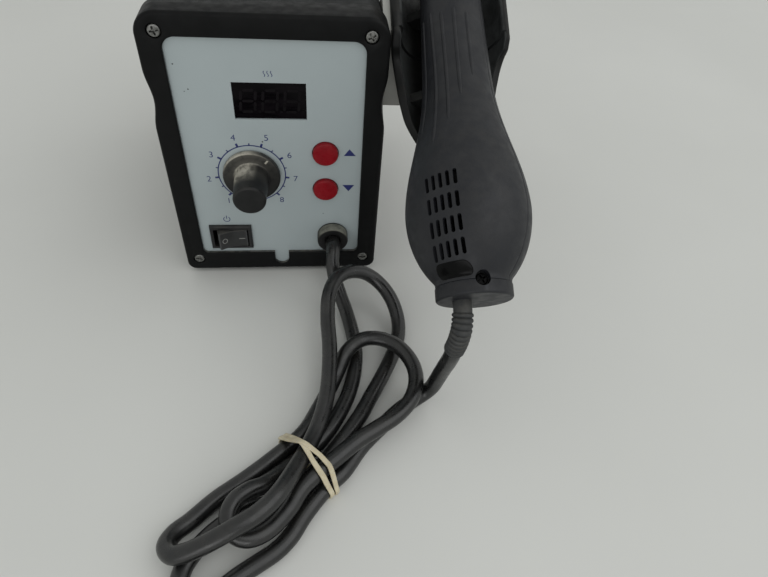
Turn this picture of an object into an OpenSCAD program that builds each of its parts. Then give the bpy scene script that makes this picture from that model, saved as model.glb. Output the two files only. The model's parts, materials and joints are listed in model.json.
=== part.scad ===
// Hot air station: a control box with a blower handle resting in a side holder.
// Sizes are in millimetres. While building, x runs to the right and y away from the
// user, with the front face at y = 0 and the table at z = 0. Each node is then moved
// so that the origin is below the middle of the station and its handle.

/* [Case] */
// Width of the front and rear bezels
bezel_w = 100; // [94:1:106]
// Height of the bezels without the feet
bezel_h = 135.8; // [130:0.2:145]
// Depth of each bezel
bezel_d = 14; // [13:0.5:18]
// Distance from the front face to the rear face
station_d = 148; // [142:1:170]
// Gap between the table and the bezels
foot_gap = 2.3; // [2:0.1:6]
// Radius of the upper corners of a bezel
top_corner_r = 9.5; // [8:0.5:11]
// Radius of the lower corners of a bezel
low_corner_r = 4.5; // [4:0.5:6]
// Depth of the finger notch in each side of a bezel
notch_depth = 1.8; // [0.6:0.1:2.2]
// Length of the finger notch
notch_len = 28; // [20:1:34]
// Height of the middle of the notch above the lower edge
notch_mid = 98.7; // [90:0.1:104]
// Rounding of the outer edge of a bezel's face
edge_r = 1.5; // [0.6:0.1:2]
// Side wall of a bezel in front of the cover
bezel_wall = 4.5; // [4:0.1:5]
// Side wall of a bezel where it laps over the cover
lap_wall = 1.3; // [1.1:0.1:1.6]
// Length of cover inside each bezel
cover_lap = 4; // [3.5:0.1:4.5]
// Thickness of the sheet metal of the cover
cover_t = 1; // [0.8:0.1:1.4]
// Thickness of the base plate
base_t = 1.2; // [1:0.1:2]
// Height of the base plate's side flanges
flange_h = 12; // [10:0.5:16]
// Gap between pieces that slip into each other
slip = 0.2; // [0.1:0.05:0.3]
// Diameter of a rubber foot
foot_dia = 14; // [11:0.5:16]
// Number of vent slots in each side of the cover
side_slots = 7; // [4:1:9]

/* [Front panel] */
// Bezel face left and right of the panel opening
side_margin = 9.6; // [9:0.1:11]
// Bezel face above the panel opening
top_margin = 9.7; // [9:0.1:11]
// Bezel face below the panel opening
low_margin = 11.6; // [10:0.1:12]
// Upper corner radius of the panel opening
opening_top_r = 5.5; // [4.5:0.5:6.5]
// Lower corner radius of the panel opening
opening_low_r = 2.5; // [2:0.5:4]
// Depth of the panel behind the bezel's face
panel_depth = 2; // [1.5:0.1:3]
// Thickness of the panel
panel_t = 1.5; // [1:0.1:2]
// Width of panel hidden behind the bezel
panel_lap = 2.6; // [2:0.1:2.8]
// Half width of the round tongue at the panel's lower edge
tongue_r = 3.7; // [3:0.1:4.5]
// Height of the tongue's straight sides
tongue_drop = 4.5; // [3:0.1:5]
// Width of the display cut-out
display_w = 31.2; // [26:0.2:36]
// Height of the display cut-out
display_h = 17.2; // [14:0.2:20]
// Height of the display's middle above the table
display_z = 100.8; // [98:0.2:103]

/* [Controls] */
// Airflow knob's place to the right of the middle
knob_x = -11.2; // [-13:0.2:-9]
// Airflow knob's height above the table
knob_z = 63.3; // [61:0.1:66]
// Diameter of the knob's skirt
knob_skirt_dia = 26.6; // [22:0.2:29]
// Diameter of the knob's grip
knob_grip_dia = 15; // [13:0.2:18]
// Distance of the knob's end from the panel
knob_len = 21; // [18:0.5:24]
// Diameter of the potentiometer's shaft
shaft_dia = 6; // [5:0.5:6]
// Place of both buttons to the right of the middle
button_x = 23.4; // [22:0.2:25]
// Height of the upper button above the table
button_up_z = 75; // [74:0.2:78]
// Height of the lower button above the table
button_down_z = 54.6; // [52:0.2:56]
// Diameter of a button
button_dia = 12; // [10:0.2:13]
// Height of a button above the panel
button_proud = 2.2; // [1.6:0.1:3]
// Distance that a button travels
button_travel = 0.6; // [0.4:0.1:0.9]
// Place of the power switch to the right of the middle
switch_x = -25.1; // [-26:0.1:-24]
// Height of the power switch above the table
switch_z = 24.4; // [23.5:0.1:27]
// Width of the switch's flange
switch_w = 21; // [20:0.1:22]
// Height of the switch's flange
switch_h = 15; // [14:0.1:16]
// Angle between the rocker's two positions
rocker_swing = 28; // [20:1:30]
// Place of the cord gland to the right of the middle
gland_x = 27; // [26:0.2:28]
// Height of the cord gland above the table
gland_z = 25; // [24.4:0.2:27]
// Diameter of the gland's head
gland_dia = 15.8; // [13:0.2:17]
// Height of the gland's head above the panel
gland_proud = 5.8; // [3:0.2:7]

/* [Handle] */
// Distance of the bulb's middle behind the front face
handle_y = -54.6; // [-60:0.2:-50]
// Height of the bulb's middle above the table
handle_z = 84.4; // [80:0.2:95]
// Slope of the handle in its holder, in degrees
handle_tilt = 30; // [26:1:36]
// Roll of the handle towards the station, in degrees
handle_roll = -33; // [-45:1:0]
// Largest radius of the bulb
bulb_r = 25; // [24:0.5:26]
// Radius of the grip at its thin end
grip_r = 13.1; // [12.6:0.1:14]
// Radius gained for each millimetre towards the bulb
grip_taper = 0.035; // [0.02:0.005:0.045]
// Length over which the bulb runs out into the grip
bulb_run = 66; // [60:1:72]
// Half length of the bulb's round back
bulb_back = 34.4; // [33:0.1:36]
// Radius of the neck behind the bulb
neck_r = 14.8; // [14.4:0.1:15.4]
// Wall of the handle's shells
shell_t = 2; // [1.6:0.1:2.4]
// Distance from the bulb's middle to the thin end of the grip
grip_end = 100; // [98:1:104]
// Length of the flare in front of the grip
flare_len = 12; // [10:1:16]
// Radius of the flare's rim
flare_r = 17; // [16.5:0.1:18]
// Distance from the bulb's middle back to the end cap
cap_joint = 29.6; // [28.8:0.1:30.6]
// Length of the end cap
cap_len = 5.6; // [5:0.2:8]
// Outer radius of the heater's barrel
barrel_r = 11; // [10:0.1:11.5]
// Length of barrel in front of the collar
barrel_len = 70; // [55:1:80]
// Wall of the barrel
barrel_t = 0.8; // [0.6:0.1:1.2]
// Number of fan blades
fan_blades = 9; // [7:1:11]

/* [Holder] */
// Gap between a bezel's side and the holder
holder_gap = 1.65; // [1:0.05:6]
// Radius of the holder's outside
holder_r = 25.6; // [25.2:0.1:27]
// Place of the holder's middle to the right of the handle's axis
holder_off = -1.35; // [-2:0.05:0]
// Wall of the holder
holder_t = 4; // [3.5:0.1:4.5]
// Height of the holder's wings above the handle's axis
wing_h = 5; // [3:0.5:8]
// Distance from the bulb's middle to the holder's far end
holder_end = 122; // [112:1:126]
// Distance along the axis where the sloping front edge meets it
lip_start = 71.5; // [70:0.5:76]
// Run of the sloping front edge for each millimetre of height
lip_run = 1.65; // [1.4:0.05:1.7]
// Gap between the handle and what carries it
seat_gap = 0.3; // [0.2:0.05:0.4]

/* [Cord] */
// Diameter of the handle's cord
cord_dia = 7; // [6:0.1:7]
// Number of ribs on the cord's boot
boot_ribs = 10; // [8:1:14]
// Thickness of the rubber band
band_t = 1.1; // [0.8:0.1:1.2]

/* [Hidden] */
$fn = 64;

// A cut reaches this far past the face that it opens
over = 1;
// Radial play of a shaft in its bearing
play = 0.05;
// Gap between pieces that move past each other
run_gap = 0.3;

// Case levels, from the table up
half_w = bezel_w / 2;
handle_x = half_w + holder_gap + holder_r - holder_off;
bezel_top = foot_gap + bezel_h;
skin = lap_wall + slip;
cover_half = half_w - skin;
cover_top = bezel_top - skin;
cover_low = foot_gap + skin;
cover_r = top_corner_r - skin;
cover_y0 = bezel_d - cover_lap + slip;
cover_y1 = station_d - cover_y0;
base_half = cover_half - cover_t - slip;
base_top = cover_low + base_t;

// Front panel, seen from the front
open_half = half_w - side_margin;
open_low = foot_gap + low_margin;
open_top = bezel_top - top_margin;
panel_y = panel_depth;
panel_back = panel_y + panel_t;
tongue_low = open_low - tongue_r - tongue_drop;
rear_panel_y = station_d - panel_back;

// Screws of the bezels: place, head, shank and thread
screw_head_r = 2.7;
screw_head_h = 1.8;
screw_r = 1.4;
thread_gap = 0.05;
screw_sink = 0.9;
small_head_r = 2.5;
small_head_h = 1.5;
small_seat = 1.2;
top_screw = [half_w - 7.9, bezel_top - 7.5];
low_screw = [half_w - 6.6, foot_gap + 7.65];
boss_r = 4;
lug_t = 2;
lug_y = bezel_d - lug_t;
corner_screws = [top_screw, [-top_screw.x, top_screw.y], low_screw, [-low_screw.x, low_screw.y]];

// Control board and what stands on it
board_y = 16;
board_t = 1.6;
board_half = 36;
board_z0 = 44;
board_z1 = 118;
post_r = 2.6;
post_in = 4;
board_screw_len = 6;
posts = [for (x = [-1, 1], z = [board_z0 + post_in, board_z1 - post_in]) [x * (board_half - post_in), z]];
tact_w = 6;
tact_body = 3.5;
stem_r = 2;
plunger_r = 1.7;
button_flange = 1;
button_crown = 5;
button_back = panel_back + run_gap + button_flange;
stem_end = board_y - tact_body - 1.5 - run_gap - button_travel;
display_x = -0.3;
digit_pitch = (display_w - 3) / 3;
window_t = 1.7;
window_lap = 1.6;
window_sink = 0.8;

// Potentiometer
pot_r = 8.5;
pot_d = 9;
pot_nut_t = 2;
bush_r = 3.5;
bush_front = panel_y - 6;
nut_r = 5 / cos(30);
pot_lead_r = 0.5;
pot_lead_pitch = 5;
pot_wall = 2;
shaft_r = shaft_dia / 2;
knob_back = panel_y - 0.5;
knob_front = panel_y - knob_len;
skirt_t = 3;
skirt_edge = 0.8;
grip_edge = 1.2;
grip_draft = 0.5;
pointer_turn = 40;
pointer_w = 1.4;
pointer_h = 0.4;
shaft_front = knob_front + 5;

// Power switch
switch_proud = 2;
switch_bevel = 0.7;
switch_well = 9;
terminal_pitch = 6;
terminal_w = 4.8;
terminal_t = 0.8;
terminal_len = 8;
switch_body_w = 19;
switch_body_h = 12.8;
switch_body_d = 15;
rocker_w = 17;
rocker_h = 10.6;
rocker_axis_y = panel_y + 1.5;
rocker_pin_r = 1.5;
rocker_lift = 5.6;
rocker_dip = 1.3;
rocker_tip = rocker_w / 2 - 1.2;
rocker_root = 3;
rocker_pin_end = 0.6;

// Cord gland: neck through the panel, thread behind it and the rounding of its head
gland_neck_r = gland_dia / 2 - 1.6;
gland_thread = 8;
gland_edge = 0.8;
gland_nut_t = 4;

// Rear inlet
inlet_z = 34;
inlet_w = 27;
inlet_h = 20;
inlet_flange = 2;
inlet_flange_w = 31;
inlet_flange_h = 24.4;
inlet_cut = 4;
inlet_pin_w = 2;
inlet_pin_h = 4;
inlet_pin_sink = 3;
inlet_tab = 8;
inlet_depth = 24;
socket_w = 23.6;
socket_h = 16;
socket_d = 17;
inlet_y = station_d - panel_y - panel_t;

// Vent slots in the rear panel and the base plate
rear_slots = 8;
rear_slot_z = 72;
rear_slot_pitch = 6;
rear_slot_len = 28;
rear_slot_x = 18;
base_slots = 7;
base_slot_y = 46;
base_slot_pitch = 9;
base_slot_len = 24;
base_slot_w = 3;

// Transformer on the base plate
core_w = 57;
core_h = 47;
core_d = 20;
leg_w = 19;
coil_out = 8;
coil_r = 5;
strap_in = 3;
window_w = 9.5;
window_h = 28;
strap_t = 1.2;
strap_foot = 11;
coil_gap = 4;
core_y = inlet_y + panel_t - inlet_depth - inlet_tab - coil_gap - coil_out - core_d / 2;

// Handle: inner and outer radius along its axis, with the bulb's middle at zero
shell_end = grip_end + flare_len;
grip_root = grip_r + grip_taper * grip_end;
function swell(t) = pow((1 + cos(180 * min(1, t / bulb_run))) / 2, 1.5);
function flare(t) = pow(max(0, t - grip_end) / flare_len, 2) * (flare_r - grip_r + grip_taper * flare_len);
function grip(t) = grip_r + grip_taper * (grip_end - t) + (bulb_r - grip_root) * swell(t) + flare(t);
function bulb(t) = max(neck_r, bulb_r * sqrt(max(0, 1 - pow(t / bulb_back, 2))));
function handle_r(t) = t < 0 ? bulb(t) : grip(t);
shell_steps = concat([for (i = [0:9]) -cap_joint * (1 - i / 9)],
                     [for (i = [1:12]) bulb_run * i / 12],
                     [for (i = [0:4]) grip_end + flare_len * i / 4]);
function shell_side(inset) = [for (t = shell_steps) [handle_r(t) - inset, t]];
function reversed(list) = [for (i = [len(list) - 1:-1:0]) list[i]];

// Ribs on the grip, by their angle from the middle of the upper shell, with their two ends and lean
rib_pitch = 22;
rib_ends = [[32, 86, 1.5], [24, 87, 2.4], [33, 85, 1.3], [44, 86, 0], [53, 84, 0]];
rib_w = 1.8;
rib_h = 0.45;
// Vent slots in straight columns on the bulb, and the label below them
slot_cols = 5;
slot_rows = 4;
slot_turn = -4.9;
slot_col_pitch = 2.92;
slot_rise = 0.12;
slot_pitch = 8.6;
slot_first = 6.8;
slot_w = 1.3;
slot_len = 6.2;
label_at = -25.9;
label_turn = -8;
label_w = 15.2;
label_h = 5.4;
label_t = 0.6;
label_proud = 0.1;
label_gap = 0.1;
cap_screw_turn = 32;
cap_screw_r = 2.6;
cap_screw_sink = 3.2;
cap_hole_r = 2.9;
cap_end = -cap_joint - cap_len;
cap_round = 1;
cap_lip = 3;
cap_wall = 3;
cap_r = neck_r + 0.3;
boot_off = -5;

// Front end of the handle
collar_t = 2.5;
collar_slack = 0.6;
collar_front = shell_end + collar_t;
barrel_front = collar_front + barrel_len;
barrel_back = shell_end - 6;
barrel_flange_r = 13.5;
barrel_flange_t = 1.2;
collar_screw_at = 15.6;
collar_screw_r = 1.1;
collar_lug_r = 2.1;
collar_lug_len = 7;
collar_turns = [60, -60, 180];
core_r = 8.2;
core_back = barrel_back;
core_disc = 4;
core_sink = 8;
channel_at = 5.2;
channel_r = 1.7;

// Fan in the bulb
fan_ring_r = handle_r(10) - shell_t - 0.3;
fan_ring_t = 1.6;
fan_back = -6;
fan_front = 10;
fan_tip_r = fan_ring_r - fan_ring_t - 0.8;
fan_hub_r = 8;
motor_r = 8;
motor_back = -18;
motor_front = fan_back + 1;
fan_pin_r = 1.2;

// Holder, in the handle's own directions
holder_in = holder_r - holder_t;
saddle_t = 4;
saddles = [58, 98];
bracket_t0 = 56;
bracket_t1 = 104;
bracket_y = bezel_d + 1.5;
bolt_len = 6;
bolt_edge = 5;
bracket_drop = 28;
bracket_in = 13;
bracket_left = cover_half - handle_x;
bracket_up = 2;
bracket_bolts = [82, 96];
bolt_drop = 7;
bolt_sink = 0.4;
bolt_tip = 1.5;
bolt_end = 0.5;
holder_seat = sqrt(pow(holder_in, 2) - pow(bolt_drop, 2)) + bolt_sink;
holder_bolt_len = holder_off - holder_seat - bracket_left - small_seat - bolt_tip;
magnet_at = 80;
magnet_r = 4;
magnet_t = 2.5;

// Outer reach of the station and handle, for the origin below its middle
cap_reach = handle_y + (cap_end + cap_round) * cos(handle_tilt) - (cap_r - cap_round) * sin(handle_tilt)
            - cap_round;
origin_x = (handle_x + max(bulb_r, holder_off + holder_r) - half_w) / 2;
origin_y = (cap_reach + station_d) / 2;

// Cord: route points from inside the gland to the boot, band lanes and the boot's own route
cord_r = cord_dia / 2;
cord_sides = 8;
cord_steps = 2;
cord_in = 8;
cord_gap_wanted = 0.4;
cord_route = [
  [27, cord_in, 25], [27, -2, 25], [27, -10, 25], [26.5, -16, 21.5], [27.5, -21, 15.5],
  [30, -27, 9.5], [33, -36, 5.5], [35.5, -50, 4], [36, -64, 4], [33, -80, 4], [26.3, -95.5, 4.5],
  [16.2, -109.9, 5], [4.2, -120.4, 6.2], [-3.5, -128.3, 10.8], [-8.8, -131.3, 13],
  [-13.8, -135.4, 14], [-16, -141.2, 13.6], [-14, -146.6, 12.5], [-8.4, -148.8, 11.5],
  [-1.2, -146, 11.2], [5.8, -138.9, 11.4], [12, -130, 12], [24.5, -119.5, 12], [34, -112, 12],
  [43, -106.5, 12], [52, -100.5, 12], [59, -92.5, 12.5], [62, -82.5, 13], [60.5, -72.5, 13],
  [55, -64, 13], [46.5, -59.5, 13], [38, -60.5, 13], [31, -66, 10.5], [26.5, -74, 5.5],
  [22.5, -82, 4], [17.5, -92, 4], [11.1, -103.7, 5], [-0.4, -114, 5], [-11.5, -122.5, 4.5],
  [-22.5, -130, 4], [-31, -138, 4.5], [-36.2, -143, 6], [-37.9, -148.4, 8.5], [-34.6, -152.7, 11.3],
  [-28.6, -153.1, 14.2], [-20, -151.2, 18.2], [-11.5, -147.8, 20.8], [-4.5, -144, 21.5],
  [2.5, -137, 21], [9.5, -123.5, 16.5], [14.5, -112, 13], [18.5, -102, 12.5], [21.5, -91, 13.5],
  [23, -79, 15], [23.5, -66, 17], [23, -52, 19.5], [24, -40, 23], [28, -31, 25], [34.5, -25.5, 24],
  [42.5, -22.5, 20], [50, -24.5, 15], [55.5, -30.5, 10.5], [58.5, -39, 6.5], [58.5, -49, 4.2],
  [55, -60.5, 4], [49.5, -72, 4], [42.5, -84.5, 4], [34.5, -98.4, 4.5], [21.3, -116.2, 5],
  [9.3, -127, 4.8], [-1, -132.6, 4], [-11, -135.5, 4], [-19.5, -140.5, 4], [-26.5, -147, 4],
  [-31.4, -154.2, 4], [-32.6, -160, 4], [-32.4, -163.8, 4], [-30, -166.9, 4], [-26.3, -168.1, 4],
  [-22.6, -166.9, 4], [-17.2, -163, 4], [-12, -159.3, 4], [-5.2, -155.3, 4], [1.2, -151.4, 4],
  [6.6, -146.2, 4.2], [12.2, -138, 4.8], [20.9, -127.8, 5], [27.5, -122, 5], [36.5, -111.5, 4],
  [46.5, -103, 4], [55.5, -95.5, 4], [61, -88, 4.3], [65.6, -82.5, 5.5], [69.4, -79.8, 10.5],
  [71.2, -80.8, 19], [71.9, -84.8, 28.5], [72, -89.6, 36.8], [72.1, -92.8, 43],
  [72.07, -93.3, 46.35]
];
band_at = [13, -118.3];
band_turn = 40;
band_w = 3;
band_rest = [[-12, 5], [12.2, 5], [8.2, 12.1], [-1.4, 15.6], [-12.3, 5.2]];
boot_r = 4.2;
boot_neck_r = 3.7;
boot_groove = 0.45;
boot_steps = 60;
boot_neck_step = 50;
boot_rib_from = 130;
boot_end = [72.1, -93.35, 47];
boot_bend = [[73.2, -92.8, 60.1], [72.6, -94.1, 53.6]];

// Moves a piece from the building position to its place over the origin
module placed() { translate([-origin_x, -origin_y, 0]) children(); }

// Turns a piece from the handle's own axes to its slope in the holder
module handle_axes() {
  translate([handle_x, handle_y, handle_z]) rotate([handle_tilt - 90, 0, 0]) children();
}
module on_handle() { placed() handle_axes() children(); }

// Extrudes an outline seen from the front, from depth y0 to depth y1
module slab(y0, y1) { rotate([90, 0, 0]) translate([0, 0, -y1]) linear_extrude(y1 - y0) children(); }

// Round bar along the depth, from y0 to y1, at a place seen from the front
module bar(at, r, y0, y1, sides = 64) {
  translate([at.x, y0, at.y]) rotate([-90, 0, 0]) cylinder(r = r, h = y1 - y0, $fn = sides);
}

// Outline with different upper and lower corner radii
module plate_2d(x0, z0, x1, z1, top_r, low_r) {
  translate([x0, z0 + low_r]) square([x1 - x0, z1 - z0 - low_r - top_r]);
  translate([x0 + low_r, z0]) square([x1 - x0 - 2 * low_r, low_r + over / 10]);
  translate([x0 + top_r, z1 - top_r - over / 10]) square([x1 - x0 - 2 * top_r, top_r + over / 10]);
  for (x = [x0 + low_r, x1 - low_r]) translate([x, z0 + low_r]) circle(low_r);
  for (x = [x0 + top_r, x1 - top_r]) translate([x, z1 - top_r]) circle(top_r);
}

// Slot with round ends
module slot_2d(len, w) {
  square([len - w, w], center = true);
  for (s = [-1, 1]) translate([s * (len - w) / 2, 0]) circle(w / 2);
}

// Solid between rings of points, closed by its first and last ring
module loft(rings) {
  n = len(rings[0]);
  last = len(rings) - 1;
  points = [for (ring = rings) each ring];
  sides = [for (k = [0:last - 1], i = [0:n - 1]) each
    [[k * n + i, k * n + (i + 1) % n, (k + 1) * n + i],
     [k * n + (i + 1) % n, (k + 1) * n + (i + 1) % n, (k + 1) * n + i]]];
  caps = [[for (i = [n - 1:-1:0]) i], [for (i = [0:n - 1]) last * n + i]];
  polyhedron(points, concat(sides, caps), convexity = 6);
}

// Screw with a domed cross head, its head seated at y = 0 and its shank towards +y
module screw(head_r, head_h, shank_r, len) {
  difference() {
    union() {
      rotate([90, 0, 0]) intersection() {
        cylinder(r = head_r, h = head_h);
        translate([0, 0, head_h - 2.2 * head_r]) sphere(2.2 * head_r);
      }
      rotate([-90, 0, 0]) cylinder(r = shank_r, h = len);
    }
    for (a = [0, 90]) translate([0, -head_h, 0]) rotate([0, a, 0])
      cube([head_r * 1.25, head_h * 1.2, head_r * 0.32], center = true);
  }
}

// Bezel outline, counter-clockwise from the lower right corner, drawn in by an inset
function arc(cx, cz, r, from, to, n) = [for (i = [0:n]) let (a = from + (to - from) * i / n)
  [cx + r * cos(a), cz + r * sin(a)]];
function notch(z) = let (s = (z - foot_gap - notch_mid) / notch_len)
  abs(s) < 0.5 ? notch_depth * pow(cos(180 * s), 2) : 0;
function bezel_side(inset, share) = [for (i = [-6:6]) let (z = foot_gap + notch_mid + notch_len * i / 12)
  [half_w - inset - share * notch(z), z]];
function bezel_half(inset, share) = concat(
  arc(half_w - low_corner_r, foot_gap + low_corner_r, low_corner_r - inset, -90, 0, 5),
  bezel_side(inset, share),
  arc(half_w - top_corner_r, bezel_top - top_corner_r, top_corner_r - inset, 0, 90, 8));
function bezel_outline(inset, share) = let (right = bezel_half(inset, share))
  concat(right, [for (p = reversed(right)) [-p.x, p.y]]);
// The notch is deepest at the face and has run out at the bezel's back edge
function bezel_ring(inset, y) = let (share = 1 - max(0, y - edge_r) / (bezel_d - edge_r))
  [for (p = bezel_outline(inset, share)) [p.x, y, p.y]];

// Moulded bezel with its face at y = 0: a rounded rim with an opening, screw bosses and a rebate
module bezel() {
  difference() {
    union() {
      difference() {
        loft(concat([for (a = [90, 60, 30, 0]) bezel_ring(edge_r * sin(a), edge_r * (1 - cos(a)))],
                    [bezel_ring(0, bezel_d)]));
        slab(-over, panel_y + over) panel_opening_2d();
        slab(panel_y, panel_back + over) panel_2d(slip);
        slab(panel_back, bezel_d + over) bezel_cavity_2d();
        slab(cover_y0 - slip, bezel_d + over) case_2d(-slip);
      }
      for (s = corner_screws) bar(s, boss_r, panel_back, lug_y - slip);
    }
    for (s = corner_screws) {
      bar(s, screw_r + slip, -over, bezel_d);
      bar(s, screw_head_r + slip, -over, screw_sink);
    }
  }
}
module panel_opening_2d() {
  plate_2d(-open_half, open_low, open_half, open_top, opening_top_r, opening_low_r);
  tongue_2d(tongue_r);
}
module tongue_2d(r) {
  translate([0, tongue_low + tongue_r]) circle(r);
  translate([-r, tongue_low + tongue_r]) square([2 * r, open_low - tongue_low]);
}
module panel_2d(grow) {
  reach = panel_lap + grow;
  plate_2d(-open_half - reach, open_low - reach, open_half + reach, open_top + reach,
           opening_top_r + reach, opening_low_r + reach);
  tongue_2d(tongue_r + grow + 0.8);
}
module bezel_cavity_2d() {
  plate_2d(bezel_wall - half_w, foot_gap + bezel_wall, half_w - bezel_wall, bezel_top - bezel_wall,
           top_corner_r - bezel_wall, low_corner_r - 3);
}
module case_2d(inset) {
  plate_2d(inset - cover_half, cover_low + inset, cover_half - inset, cover_top - inset,
           cover_r - inset, low_corner_r - lap_wall - inset / 2);
}

// Moves a front bezel's pieces to the rear, facing backwards
module at_rear() { translate([0, station_d, 0]) mirror([0, 1, 0]) children(); }

module front_bezel() { color("#1c1d1e") placed() bezel(); }
module rear_bezel() { color("#1c1d1e") placed() at_rear() bezel(); }

module front_panel() {
  color("#c9d6da") placed() slab(panel_y, panel_back) difference() {
    panel_2d(0);
    translate([display_x, display_z]) square([display_w, display_h], center = true);
    translate([knob_x, knob_z]) circle(bush_r + slip);
    for (z = [button_up_z, button_down_z]) translate([button_x, z]) circle(button_dia / 2 + run_gap);
    translate([switch_x - switch_body_w / 2 - slip, switch_z - switch_body_h / 2 - slip])
      square([switch_body_w + 2 * slip, switch_body_h + 2 * slip]);
    translate([gland_x, gland_z]) circle(gland_neck_r + slip);
  }
}

module display_window() {
  color("#2a0a0c") placed() translate([display_x, 0, 0]) {
    slab(panel_back, panel_back + window_t) translate([0, display_z])
      square([display_w + 2 * window_lap, display_h + 2 * window_lap], center = true);
    slab(panel_y + window_sink, panel_back + over / 10) translate([0, display_z])
      square([display_w - 2 * slip, display_h - 2 * slip], center = true);
  }
}

module display_module() {
  color("#3b3b3b") placed() difference() {
    slab(panel_back + window_t + slip, board_y) translate([display_x, display_z])
      square([3 * digit_pitch, display_h - 2], center = true);
    for (i = [-1:1]) slab(panel_back, panel_back + window_t + slip + 0.6)
      translate([display_x + i * digit_pitch, display_z]) digit_2d((display_h - 7) / 2);
  }
}
// Outline of a seven-bar digit, half as wide as it is high
module digit_2d(half) {
  for (z = [-half, 0, half]) translate([0, z]) slot_2d(half, 1);
  for (x = [-1, 1], z = [-1, 1]) translate([x * half / 1.7, z * half / 2]) rotate(90) slot_2d(half - 0.6, 1);
}

module control_board() {
  color("#2e6b3a") placed() difference() {
    slab(board_y, board_y + board_t) translate([-board_half, board_z0])
      square([2 * board_half, board_z1 - board_z0]);
    for (p = posts) bar(p, screw_r + slip, board_y - over, board_y + board_t + over);
    for (x = [-1:1]) bar([knob_x + pot_lead_pitch * x, knob_z - pot_lead_pitch], pot_lead_r + slip,
                         board_y - over, board_y + board_t + over, 24);
  }
}

module board_posts() {
  color("#b8b29a") placed() for (p = posts) difference() {
    bar(p, post_r / cos(30), panel_back, board_y, 6);
    bar(p, screw_r + thread_gap, board_y - board_screw_len, board_y + over);
  }
}

module board_screws() {
  color("#9a9a96") placed() for (p = posts)
    translate([p.x, board_y + board_t, p.y]) mirror([0, 1, 0])
      screw(small_head_r, small_head_h, screw_r, board_screw_len);
}

module tact_switches() {
  color("#26272a") placed() for (z = [button_up_z, button_down_z]) {
    slab(board_y - tact_body, board_y) translate([button_x, z]) square(tact_w, center = true);
    bar([button_x, z], plunger_r, board_y - tact_body - 1.5, board_y - tact_body);
  }
}

module airflow_pot() {
  at = [knob_x, knob_z];
  color("#8d8d8a") placed() difference() {
    union() {
      bar(at, pot_r, panel_back, panel_back + pot_d);
      bar(at, bush_r, bush_front, panel_back + over / 10);
      bar(at, nut_r, panel_y - pot_nut_t, panel_y, 6);
      for (x = [-1:1]) bar([knob_x + pot_lead_pitch * x, knob_z - pot_lead_pitch], pot_lead_r,
                           panel_back + pot_d - over, board_y + board_t + over, 24);
    }
    bar(at, shaft_r + play, bush_front - over, panel_back + pot_d - pot_wall);
  }
}
module pot_shaft() {
  color("#c0c0bb") placed() 
    bar([knob_x, knob_z], shaft_r, shaft_front, panel_back + pot_d - pot_wall - run_gap);
}

// Skirted knob: a round grip on a thin flange, with a pointer ridge and a hollow for the nut
module airflow_knob() {
  color("#1f2224") placed() translate([knob_x, 0, knob_z]) difference() {
    union() {
      rotate([90, 0, 0]) translate([0, 0, -knob_back]) rotate_extrude($fn = 96) knob_side_2d();
      rotate([0, pointer_turn, 0])
        translate([-pointer_w / 2, knob_back - skirt_t - pointer_h, knob_grip_dia / 2])
          cube([pointer_w, over, (knob_skirt_dia - knob_grip_dia) / 2 - skirt_edge]);
    }
    bar([0, 0], shaft_r, shaft_front, knob_back + over);
    bar([0, 0], nut_r + run_gap, bush_front - run_gap, knob_back + over);
  }
}
module knob_side_2d() {
  len = knob_back - knob_front;
  skirt = knob_skirt_dia / 2;
  top = knob_grip_dia / 2;
  flat = top - grip_edge;
  square([skirt - skirt_edge, skirt_t]);
  square([skirt, skirt_t - skirt_edge]);
  translate([skirt - skirt_edge, skirt_t - skirt_edge]) circle(skirt_edge);
  polygon([[0, 0], [top + grip_draft, 0], [top + grip_draft, skirt_t], [top, len - grip_edge],
           [flat, len - grip_edge], [flat, len], [0, len]]);
  translate([flat, len - grip_edge]) circle(grip_edge);
}

// Button: a crowned cap with a flange behind the panel and a stem towards its switch
module push_button(z) {
  r = button_dia / 2;
  color("#b21e22") placed() translate([button_x, 0, z]) rotate([90, 0, 0])
    translate([0, 0, -stem_end]) rotate_extrude($fn = 96) {
      square([stem_r, stem_end - button_back + over]);
      translate([0, stem_end - button_back]) square([r + 1, button_flange]);
      intersection() {
        square([r, stem_end - panel_y + button_proud]);
        translate([0, stem_end - panel_y + button_proud - button_crown * r])
          circle(button_crown * r, $fn = 180);
        translate([0, stem_end - button_back]) square([r, 3 * r]);
      }
    }
}
module button_up() { push_button(button_up_z); }
module button_down() { push_button(button_down_z); }

module switch_frame() {
  color("#1b1c1d") placed() translate([switch_x, 0, switch_z]) difference() {
    union() {
      loft([for (step = [[switch_bevel, switch_proud], [0, switch_proud - switch_bevel], [0, 0]])
        [for (c = [[-1, -1], [1, -1], [1, 1], [-1, 1]])
          [c.x * (switch_w / 2 - step[0]), panel_y - step[1], c.y * (switch_h / 2 - step[0])]]]);
      slab(panel_y - over / 10, panel_y + switch_body_d)
        square([switch_body_w, switch_body_h], center = true);
    }
    slab(panel_y - switch_proud - over, panel_y + switch_well)
      square([rocker_w + 2 * run_gap, rocker_h + 2 * run_gap], center = true);
    translate([0, rocker_axis_y, 0])
      cylinder(r = rocker_pin_r + play, h = rocker_h + 2 * (rocker_pin_end + slip), center = true);
  }
}
module switch_terminals() {
  color("#c9b98a") placed() for (i = [-1:1])
    translate([switch_x + i * terminal_pitch, panel_y + switch_body_d + terminal_len / 2, switch_z])
      cube([terminal_t, terminal_len, terminal_w], center = true);
}

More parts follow.
